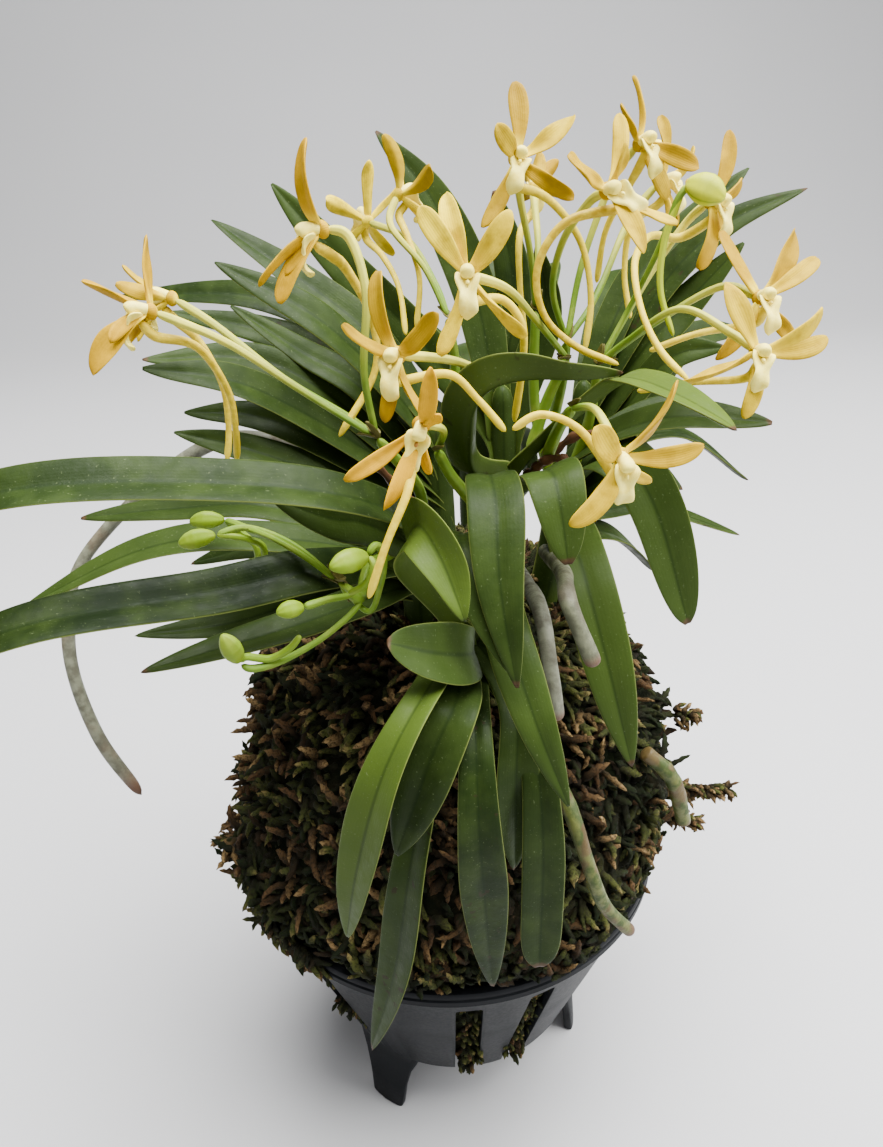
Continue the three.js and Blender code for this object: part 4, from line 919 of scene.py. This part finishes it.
# Blooms: five narrow tepals, a hanging lip with a short column, and a long curved spur behind
blooms = {   # tint: pale and warm; each tepal: angle, lean, roll, width, length
    "01": {"at": (-42, -20, 185), "face": (-62, 5), "tint": (0.0, 0.25), "spurWarm": 0.5,
           "spur": [(-36, -18, 179), (-33, -15, 171), (-33, -14, 164), (-34, -12, 158)],
           "tepals": ((-26, -6, "edge"), (-62, 46, "edge", 0.9), (180, 44, "broad", 1.5, 1.15),
                      (-134, 19, "broad", 0.9, 0.75), (158, 56, "broad", 0.8, 0.7))},
    "02": {"at": (-43, -4, 184), "face": (-100, 5),
           "spur": [(-39, -5, 177), (-36, -6, 170), (-36, -6, 162), (-37, -7, 156)],
           "tepals": ((0, 58, 40, 0.9, 0.8), (62, 52, 0, 0.9, 0.8), (-62, 60, 10, 0.9, 0.75),
                      (150, 30, 0, 0.9, 0.8), (-150, 34, 0, 0.9, 0.8))},
    "03": {"at": (-15, -25, 196), "face": (-60, -10), "tint": (0.0, 0.3), "mark": 0.25, "spurWarm": 0.6,
           "spur": [(-12, -21, 190), (-9, -20, 183), (-9, -21, 175), (-15, -25, 166)],
           "tepals": ((4, -5, 20, 1.1, 1.1), (-166, 63, "edge", 0.9, 1.05), (172, 50, "broad", 1.15),
                      (178, 60, 0, 0.8, 0.7), (-150, 52, 20, 0.7, 0.6))},
    "04": {"at": (-12, 32, 191), "face": (-150, 20), "tint": (0.95, 0.0),
           "spur": [(-9, 26, 185), (-6, 20, 180), (-5, 15, 172)],
           "tepals": ((0, 10, 0), (62, 0, 0), (-62, 20, 30), (138, 10, 0), (-138, 0, 20))},
    "05": {"at": (-5, 26, 196), "face": (120, 5), "tint": (0.3, 0.0),
           "spur": [(-4, 22, 189), (-2, 18, 182), (-3, 16, 173)],
           "tepals": ((0, -10, 60), (62, 30, 0), (-62, 10, 0), (138, 40, 10), (-138, 20, 0))},
    "06": {"at": (5, -29, 190), "face": (0, 5), "tint": (0.6, 0.0), "spurWarm": 0.1,
           "spur": [(10, -26, 186), (13, -26, 182), (13, -25, 175), (12, -24, 167)],
           "tepals": ((-13, -10, 0), (36, 14, -10), (-34, 14, 12), (136, 18, 70), (-158, 16, 30))},
    "07": {"at": (-5, -36, 181), "face": (-15, 0), "tint": (0.1, 0.0),
           "spur": [(2, -35, 178), (6, -34, 174), (10, -34, 169)],
           "tepals": ((-11, -10, 0), (46, 26, -20), (-44, 38, 75, 0.8, 0.85), (142, 16, 60),
                      (-172, 24, 20, 0.8, 0.8))},
    "08": {"at": (-2, -42, 173), "face": (-10, -20), "lipTurn": 20, "tint": (0.0, 0.75), "mark": 0.9,
           "spur": [(-4, -47, 166), (-7, -50, 160), (-10, -51, 152)],
           "tepals": ((14, 8, 0, 0.75), (40, 30, 20, 0.65, 0.5), (-112, 34, 10, 0.8, 1.1),
                      (168, 34, 0, 0.6, 0.55), (-149, 46, 20, 0.8, 1.1))},
    "09": {"at": (14, -5, 203), "face": (8, 8), "lipTurn": 18, "tint": (0.15, 0.0),
           "spur": [(19, -3, 197), (25, 0, 190), (27, -1, 181), (26, -3, 172)],
           "tepals": ((4, -18, 0), (58, 2, -25), (-50, 48, 10, 0.95, 0.8), (128, 18, 30), (-147, 12, 10))},
    "10": {"at": (19, 16, 197), "face": (165, 15),
           "spur": [(16, 10, 190), (16, 9, 181), (17, 9, 172)],
           "tepals": ((0, 62, 0, 0.9, 0.8), (62, 60, 10, 0.9, 0.8), (-62, 62, 0, 0.9, 0.8),
                      (138, 50, 0, 0.9, 0.9), (-138, 50, 20, 0.9, 0.9))},
    "11": {"at": (26, -18, 199), "face": (20, 5), "lipTurn": -50, "spurWarm": 0.7,
           "spur": [(20, -18, 195), (16, -18, 189), (17, -18, 182), (22, -18, 177), (29, -19, 174)],
           "tepals": ((19, -17, "broad", 0.8, 1.05), (-54, 12, "broad", 1.1, 0.78),
                      (163, 30, "broad", 1.25), (122, 35, "broad", 0.9, 0.95), (5, 33, "edge", 0.6, 0.65))},
    "12": {"at": (35, 4, 204), "face": (25, 8),
           "spur": [(34, 8, 197), (31, 10, 190), (30, 11, 181)],
           "tepals": ((8, -18, "edge", 0.6), (-40, 15, "edge", 0.8, 0.65), (129, 40, "broad", 1.1),
                      (155, 10, "broad", 1.15, 0.85), (115, 30, "broad", 0.8, 0.75))},
    "13": {"at": (42, 17, 197), "face": (60, 5),
           "spur": [(37, 17, 190), (36, 16, 182), (37, 13, 174)],
           "tepals": ((0, 0, 0), (62, 15, 10), (-62, 10, 0), (138, 5, 0), (-138, 15, 0))},
    "14": {"at": (47, 2, 195), "face": (35, -5), "tint": (0.1, 0.05), "spurWarm": 0.0,
           "spur": [(43, 6, 189), (37, 2, 190), (33, -6, 187), (33, -13, 181), (35, -19, 176),
                    (39, -23, 172)],
           "tepals": ((26, -14, "broad", 0.9, 1.05), (60, 10, "edge", 0.7, 0.6), (-62, 0, 0, 0.8, 0.7),
                      (-152, 18, "broad", 1.25), (150, 8, "broad", 0.9, 0.7))},
    "15": {"at": (52, -12, 182), "face": (12, 10), "mark": 0.35,
           "spur": [(50, -9, 177), (43, -9, 176), (36, -7, 173)],
           "tepals": ((34, -9, "broad", 1.05, 1.1), (60, 2, -30), (-23, -18, "broad", 1.15, 1.05),
                      (140, 5, 20, 0.9, 0.9), (-140, 0, 20))},
    "16": {"at": (49, -22, 176), "face": (0, 5), "lipTurn": 8, "spurWarm": 0.35,
           "spur": [(47, -19, 171), (40, -16, 170), (33, -13, 168)],
           "tepals": ((59, -12, 15, 1.1, 1.1), (80, -4, -30, 1.0, 1.05), (-27, -6, "broad", 1.2),
                      (-166, 20, 0, 1.0, 0.9), (-108, 8, "edge", 1.0, 1.2))},
    "17": {"at": (24, -46, 169), "face": (10, -20), "spurWarm": 0.45,
           "spur": [(19, -43, 172), (14, -42, 174), (10, -42, 172)],
           "tepals": ((33, -10, "edge", 1.3, 1.05), (82, 6, "broad", 0.9), (-36, 8, "broad", 1.25, 0.75),
                      (135, -8, "broad", 0.6, 0.85), (-130, 26, "broad", 1.1, 1.05))}}
tepalForm = {"length": 11.6, "half": 1.5, "thick": 0.75, "rows": 16, "around": 12}
viewSide = np.array([0.0, -1.0, 0.5])


def bloomAxes(bloom):
    azimuth, height = np.radians(bloom["face"])
    front = spin(math.cos(height), azimuth, math.sin(height))
    right = np.array([math.cos(azimuth), math.sin(azimuth), 0])
    return right, -np.cross(right, front), front


def inBloom(bloom, right, top, front):
    axes = bloomAxes(bloom)
    return np.array(bloom["at"], float) + axes[0] * right + axes[1] * top + axes[2] * front


def inLip(bloom, *places):   # the same three ways, turned with the lip
    turn = math.radians(bloom.get("lipTurn", 0))
    c, s = math.cos(turn), math.sin(turn)
    return [inBloom(bloom, right * c + top * s, top * c - right * s, front) for right, top, front in places]


def makeTepal(bloom, draw, angle, lean, roll, wide=1.0, reach=1.0):
    # angle and lean steer it; roll turns it about its length, or says how it faces the viewer
    bow, swing = draw(-5, 58), draw(6, 34) * (-1 if angle > 0 else 1)
    place, points = np.array([0.0, 0.0, -0.5]), []
    length = tepalForm["length"] * reach * draw(0.97, 1.07)
    for t in np.linspace(0, 1, 7):
        turn = math.radians(angle + swing * (t - 0.45))
        rise = math.radians(lean + (18 if abs(lean) < 25 else 6) * (0.4 - t) - bow * (t - 0.5))
        along = np.array([math.sin(turn) * math.cos(rise), math.cos(turn) * math.cos(rise), math.sin(rise)])
        points.append(inBloom(bloom, *(place + along * 0.5)))
        place = place + along * length / 6.3
        if t == 0.5:
            middle = along
    direction = inBloom(bloom, *middle) - np.array(bloom["at"], float)
    sideways = unit(np.cross(direction, viewSide if roll in ("broad", "edge") else bloomAxes(bloom)[2]))
    turned = {"broad": draw(-25, 25), "edge": 78}.get(roll, roll)
    sideways = np.array(Matrix.Rotation(math.radians(turned), 3, Vector(direction)) @ Vector(sideways))
    half = tepalForm["half"] * wide * (0.96 if abs(angle) > 100 else 1.06) * draw(0.94, 1.06)
    most, taper, cup = draw(0.48, 0.64), draw(2.1, 3.4), draw(0.05, 0.42)
    spec = {"half": lambda v: half * (0.4 + 0.6 * smooth(0.0, most, v)) * narrowed(v, most, taper, 0.64),
            "thick": lambda v: tepalForm["thick"] * (1.2 - 0.4 * v) * roundEnds(v, 0.02, 0.03),
            "fold": lambda v: cup + 0.3 * (1 - v), "groove": 0.1, "curl": draw(-0.25, 0.1),
            "twist": draw(-40, 40), "wave": draw(0.1, 0.4), "waves": draw(5, 9), "phase": draw(0, 6)}
    return blade("tepal", points, sideways, spec, tepalForm["around"], tepalForm["rows"])


def makeLip(bloom):
    path = inLip(bloom, (0, -0.3, 0.6), (0, -1.2, 2.2), (0, -2.5, 3.3), (0, -4.0, 3.5), (0, -5.7, 2.5))
    leftward = inLip(bloom, (-1, 0, 0))[0] - np.array(bloom["at"])
    stations = [0, 0.06, 0.16, 0.25, 0.33, 0.44, 0.6, 0.76, 0.9, 1]
    spec = {"half": steps(stations, [0, 1.25, 1.75, 1.85, 1.55, 1.15, 1.35, 1.42, 0.95, 0]),
            "fold": steps(stations, [0.9, 1.1, 1.2, 1.1, 0.9, 0.6, 0.42, 0.32, 0.1, -0.1]),
            "thick": lambda v: 0.85 * roundEnds(v, 0.04, 0.1),
            "groove": 0.3, "curl": -0.2, "wave": 0.26, "waves": 15}
    return blade("lip", path, leftward, spec, 14, 20)


def makeColumn(bloom):
    path = inLip(bloom, (0, 0, -0.9), (0, 0.5, 1.0), (0, 0.7, 2.3), (0, 0.2, 3.3))
    radii = steps([0, 0.08, 0.4, 0.62, 0.76, 0.88, 0.96, 1], [0, 0.85, 0.92, 0.95, 1.03, 1.0, 0.76, 0])
    return strand("column", path, radii, around=14, along=20)


def makeBeak(bloom):
    path = inLip(bloom, (0, -0.4, 2.6), (0, -0.7, 3.0), (0, -0.8, 3.4))
    return strand("beak", path, swell(0.32, 0.6), around=8, along=8)


def makeSpur(bloom):
    path = inLip(bloom, (0, -1.0, 1.6), (0, -2.2, 0.6), (0, -3.7, -0.9)) + bloom["spur"]
    radii = steps([0, 0.03, 0.12, 0.3, 0.7, 0.93, 0.985, 1], [0, 0.8, 0.84, 0.68, 0.54, 0.62, 0.4, 0])
    return strand("spur", path, radii, around=12, along=44)


def buildBloom(name, bloom, draw):
    pale, warm = bloom.get("tint", (draw(0, 0.3), draw(0, 0.12)))
    petals = [makeTepal(bloom, draw, *tepal) for tepal in bloom["tepals"]]
    hubPath = [inBloom(bloom, 0, 0, front) for front in (-1.5, -0.4, 0.6)]
    petals.append(strand("hub", hubPath, swell(1.35, 0.5), around=12, along=8))
    for piece in petals:
        setTones(piece, pale=np.clip(pale + draw(-0.25, 0.2), 0, 1), warm=warm)
    growTogether(petals, "petals" + name, petalSkin, "petal", "petals_" + name)
    lip, column, beak, spur = makeLip(bloom), makeColumn(bloom), makeBeak(bloom), makeSpur(bloom)
    setTones(lip, spur=0, mark=0, warm=0.25 * warm)
    setTones(column, spur=0, mark=0, warm=0.25 * warm)
    setTones(beak, spur=0, mark=bloom.get("mark", 0), warm=0.25 * warm)
    setTones(spur, spur=1, mark=0, warm=bloom.get("spurWarm", draw(0, 0.5)))
    growTogether([lip, column, beak, spur], "lip" + name, lipSkin, "lip", "lip_" + name)


for step, (name, bloom) in enumerate(blooms.items()):
    buildBloom(name, bloom, seeded("blooms", step).uniform)
print("blooms opened")


# Sprays: a stalk, a pedicel to each bloom by number, and buds still closed: start, end, radius, spur
sprays = {
    "spray_left": {"stalk": [(-4, -16, 143), (-3, -21, 155), (-9, -28, 167)], "pedicels": [
        ("01", [(-20, -23, 173), (-31, -20, 180)]),
        ("02", [(-14, -20, 168), (-24, -15, 173), (-35, -8, 180)]),
        ("03", [(-10, -29, 177), (-9, -28, 188), (-11, -25, 195)])]},
    "spray_back_left": {"stalk": [(4, 14, 158), (4, 13, 168), (3, 12, 176)], "pedicels": [
        ("04", [(1, 17, 181), (-4, 25, 188)]),
        ("05", [(-1, 17, 184), (-7, 22, 191)])]},
    "spray_front": {"stalk": [(16, -10, 157), (19, -9, 166), (22, -10, 173)], "pedicels": [
        ("06", [(16, -18, 181), (11, -24, 187)]),
        ("07", [(12, -21, 173), (3, -28, 178)])]},
    "spray_low_front": {"stalk": [(6, -20, 152), (2, -27, 160), (0, -32, 166)], "pedicels": [
        ("08", [(1, -35, 170)])]},
    "spray_top": {"stalk": [(21, -1, 148), (18, 1, 162), (18, 2, 179)], "pedicels": [
        ("09", [(17, 2, 188), (15, 0, 197)]),
        ("10", [(19, 8, 188)])]},
    "spray_high_right": {"stalk": [(22, 6, 157), (23, 2, 166), (23, -2, 174)], "pedicels": [
        ("11", [(20, -5, 183), (21, -8, 191), (24, -13, 197)]),
        ("12", [(26, 3, 186), (31, 5, 199)]),
        ("13", [(29, 5, 180), (36, 15, 191)])]},
    "spray_right": {"stalk": [(24, -2, 148), (27, -4, 160), (28, -6, 171)], "pedicels": [
        ("14", [(38, 5, 183), (44, 7, 191)]),
        ("15", [(37, -5, 177), (47, -7, 183)]),
        ("16", [(32, -8, 175), (39, -13, 181), (46, -18, 178)]),
        ("bud", [(33, -3, 179), (37, -5, 189), (39.5, -5, 196.5), (41.5, -5.5, 198.3)])], "buds": [
        ((40.4, -5, 198.6), (45.3, -8, 196.6), 2.3, [(39.5, -5, 196), (37.5, -6, 190), (37, -8, 183),
            (39, -11, 176)])]},
    "spray_right_front": {"stalk": [(18, -16, 158), (19, -24, 166), (20, -30, 171)], "pedicels": [
        ("17", [(22, -38, 173)])]},
    "spray_buds": {
        "stalk": [(-8, -20, 144), (-11, -33, 148), (-12, -39, 146.5), (-12.5, -43, 148), (-15, -40, 149)],
        "pedicels": [
        ("bud", [(-11, -42, 145), (-8.8, -43, 150), (-7.9, -45, 155.4), (-8.8, -46, 157.8),
                 (-10, -47, 156.6)]),
        ("bud", [(-13, -45, 149.7), (-16, -48, 150.6), (-19, -50, 150.7)]),
        ("bud", [(-12, -42, 147), (-16.5, -46, 144), (-22.8, -49, 141.7), (-27, -51, 141.7),
                 (-28.6, -51, 142.6)]),
        ("bud", [(-22, -36, 153.6), (-29, -33, 155.2), (-33.6, -34, 154.7)]),
        ("bud", [(-20, -38, 152.4), (-25, -36, 154.8), (-33.2, -29, 154.9)])], "buds": [
        ((-9.9, -47, 156.6), (-14.2, -51, 157.2), 1.8, [(-9.1, -48, 155.4), (-10.5, -48, 152.8),
            (-13, -48, 151.4)]),
        ((-18.9, -50, 150.7), (-22, -52, 151.1), 1.35, []),
        ((-28.6, -51, 142.9), (-29.6, -53, 148.1), 1.6, [(-27.5, -51, 143.7), (-24.6, -50, 142.6),
            (-21.7, -50, 144.1), (-19.8, -50, 146.3)]),
        ((-33.6, -34, 154.7), (-38.6, -35, 153.9), 1.6, [(-30.5, -33.5, 154), (-28.9, -33, 153.2),
            (-27, -33, 151.9), (-27.2, -33, 148.1)]),
        ((-33.2, -29, 154.9), (-38.2, -29, 154.8), 1.5, [(-31, -29.5, 153), (-28.9, -30, 150.7),
            (-29, -30, 147.9), (-30.8, -31, 146.2)])]}}
stalkForm = {"stalkRadius": 1.15, "pedicelRadius": 0.62, "budPedicelShare": 0.82, "bractLength": 3.2,
             "litAbove": 190}


def tinted(piece, green=1, bud=0, dry=0, lit=0):
    setTones(piece, green=green, bud=bud, dry=dry, lit=lit)
    return piece


def makeBud(start, end, radius):
    start, end = np.array(start, float), np.array(end, float)
    reach = end + (end - start) * 0.12
    radii = np.array([0, 0.4, 0.72, 1.0, 1.08, 0.9, 0.55, 0.28, 0]) * radius
    return strand("bud", [start, (start + reach) / 2 + up * 0.15, reach],
                  steps([0, 0.04, 0.16, 0.34, 0.55, 0.75, 0.9, 0.97, 1], radii),
                  around=24, along=22, lobes=3, lobeDepth=0.075)


def makeBudSpur(start, path):
    radii = steps([0, 0.04, 0.2, 0.9, 0.97, 1], [0, 0.55, 0.6, 0.52, 0.4, 0])
    return strand("budSpur", [start, *path], radii, around=12, along=30)


def makePedicel(path, radius):
    radii = np.array([0, 0.9, 0.95, 1.1, 1.25, 1.0, 0]) * radius
    return strand("pedicel", path, steps([0, 0.03, 0.5, 0.8, 0.93, 0.985, 1], radii),
                  around=12, along=36, lobes=6, lobeDepth=0.03)


def makeBract(at, direction, size, rng):
    direction = unit(direction)
    sideways = unit(np.cross(direction, up) + np.array([0.01, 0, 0]))
    outward = unit(np.cross(sideways, direction)) * rng.choice([-1, 1])
    points = [at - direction * 0.5, at + direction * size * 0.5 + outward * 0.7,
              at + direction * size + outward * 1.5]
    spec = {"half": lambda v: size * 0.3 * (1 - v ** 2.2) ** 0.7 * roundEnds(v, 0.05, 0.0001),
            "thick": lambda v: 0.4 * roundEnds(v, 0.05, 0.05), "fold": lambda v: 0.8 + 0 * v}
    return blade("bract", points, sideways, spec, 10, 8)


def buildSpray(name, spray, rng):
    top = np.array(spray["stalk"][-1], float)
    pieces = [tinted(strand(name, spray["stalk"], lambda v: (stalkForm["stalkRadius"] - 0.3 * v)
                            * roundEnds(v, 0.03, 0.04), around=12, along=20))]
    for target, points in spray["pedicels"]:
        if target == "bud":
            pedicel = makePedicel([top, *points], stalkForm["pedicelRadius"] * stalkForm["budPedicelShare"])
            pieces.append(tinted(pedicel))
        else:
            path = [top, *points, inBloom(blooms[target], 0, 0, -0.7)]
            pieces.append(tinted(makePedicel(path, stalkForm["pedicelRadius"]), green=rng.uniform(0, 0.35)))
        pieces.append(tinted(makeBract(top, points[0] - top, stalkForm["bractLength"], rng), dry=0.75))
    for start, end, radius, path in spray.get("buds", []):
        lit = start[2] > stalkForm["litAbove"]   # the top bud stands in the light and is painted lighter
        pieces.append(tinted(makeBud(start, end, radius * (0.98 if lit else 0.86)), bud=1, lit=lit))
        if path:
            pieces.append(tinted(makeBudSpur(start, path), bud=0.55, lit=lit * 0.5))
    growTogether(pieces, name.replace("_", "") + "Stalks", stalkSkin, "flower_stalk", name)


for step, (name, spray) in enumerate(sprays.items()):
    buildSpray(name, spray, seeded("sprays", step))
print("sprays grown")


# Aerial roots, from the stems to their growing tips
roots = {
    "root_left_long": {"radius": 1.5, "points": [(-5, 11, 140), (-22, 16, 147), (-46, 20, 151),
        (-74, 15, 130), (-79, 5, 114), (-75, 0, 94), (-68, -2, 77)]},
    "root_silver": {"radius": 1.4, "fresh": 0.25, "points": [(18, -18, 142), (18, -36, 147), (18, -44, 147),
        (22, -47, 137)]},
    "root_grey": {"radius": 1.4, "points": [(13, -16, 138), (15, -36, 141), (16, -43, 134),
        (17, -45, 126)]},
    "root_front_green": {"radius": 1.35, "fresh": 1.0, "points": [(14, -28, 114), (18.5, -44, 111),
        (22.5, -49, 99), (25.5, -49, 90), (31, -47, 81)]},
    "root_right_green": {"radius": 1.6, "fresh": 1.0, "points": [(36, -26, 104), (42, -26, 98),
        (45, -26, 86)]}}
rootForm = {"bumps": 14, "bumpMost": 0.09, "wander": 0.5, "around": 16, "rows": 60}


def buildRoot(name, root, draw):
    knots = np.linspace(0, 1, rootForm["bumps"])
    bumps = draw(-rootForm["bumpMost"], rootForm["bumpMost"], rootForm["bumps"])
    points, last = [], len(root["points"]) - 1
    for i, point in enumerate(root["points"]):   # the two ends stay where they are
        points.append(point + draw(-rootForm["wander"], rootForm["wander"], 3) * (0 < i < last))
    obj = strand(name, points, lambda v: root["radius"] * (1 - 0.12 * v) * (1 + np.interp(v, knots, bumps))
                 * roundEnds(v, 0.02, 0.03), around=rootForm["around"], along=rootForm["rows"])
    setTones(obj, fresh=root.get("fresh", 0))
    growTogether([obj], name.replace("_", "") + "Strand", rootSkin, "aerial_root", name)


for step, (name, root) in enumerate(roots.items()):
    buildRoot(name, root, seeded("roots", step).uniform)
print("roots laid")


# Dry stubs of old flower stalks among the stems
stubs = [[(15, -13, 154), (18, -19, 159), (21, -22, 160)], [(18, -8, 154), (23, -14, 161), (27, -17, 162)],
         [(-2, -12, 146), (-7, -20, 156), (-11, -22, 162)]]


def buildStubs():
    made = [tinted(strand("stub", path, lambda v: (0.75 + 0.2 * np.sin(v * 22)) * roundEnds(v, 0.05, 0.08),
                          around=10, along=18), dry=1) for path in stubs]
    settle(joinAll(made, "dryStubs"), stalkSkin, "flower_stalk")


buildStubs()


# Floor with a swept backdrop, and soft studio light: place, size and power of each lamp
stage = {"width": 4.0, "near": -1.2, "back": 0.75, "rise": 1.6, "bend": 0.5, "rows": 60, "aim": (0, 0, 0.12),
         "lights": {"key": ((0.12, 0.0, 1.0), 0.8, 58.0), "fill": ((0.6, -0.1, 0.5), 0.5, 9.0),
                    "front": ((-0.1, -1.0, 0.9), 1.0, 2.2)},
         "air": (0.78, 0.79, 0.82, 1), "airPower": 0.32}


def buildStage():
    near, back, bend = stage["near"], stage["back"], stage["bend"]
    flat, arc = back - near, bend * math.pi / 2
    pick()
    bpy.ops.mesh.primitive_grid_add(x_subdivisions=2, y_subdivisions=stage["rows"], size=1)
    floor = bpy.context.object
    floor.name = "studioFloor"
    for vertex in floor.data.vertices:
        s = (vertex.co.y + 0.5) * (flat + arc + stage["rise"])
        turn = min(max(s - flat, 0) / bend, math.pi / 2)
        y = near + min(s, flat) + bend * math.sin(turn)
        z = bend * (1 - math.cos(turn)) + max(s - flat - arc, 0)
        vertex.co = (vertex.co.x * stage["width"], y, z)
    pick(floor)
    bpy.ops.object.shade_smooth()
    f = Finish("studioPaper", 0.9)
    f.tint = f.mix(f.clouds(0.3, 0.7, 1, 3, 2), (0.43, 0.43, 0.435), (0.415, 0.415, 0.42))
    floor.data.materials.append(f.done())


def addSoftLight(name, place, size, power):
    data = bpy.data.lights.new(name, "AREA")
    data.size = size
    data.energy = power
    obj = bpy.data.objects.new(name, data)
    bpy.context.scene.collection.objects.link(obj)
    obj.location = potAxis + np.array(place)
    aim = Vector(stage["aim"]) - Vector(place)
    obj.rotation_euler = aim.to_track_quat("-Z", "Y").to_euler()


buildStage()
for name, light in stage["lights"].items():
    addSoftLight(name + "Light", *light)
world = bpy.data.worlds.new("studioAir")
world.use_nodes = True
air = world.node_tree.nodes["Background"].inputs
air["Color"].default_value = stage["air"]
air["Strength"].default_value = stage["airPower"]
bpy.context.scene.world = world
print("stage lit")
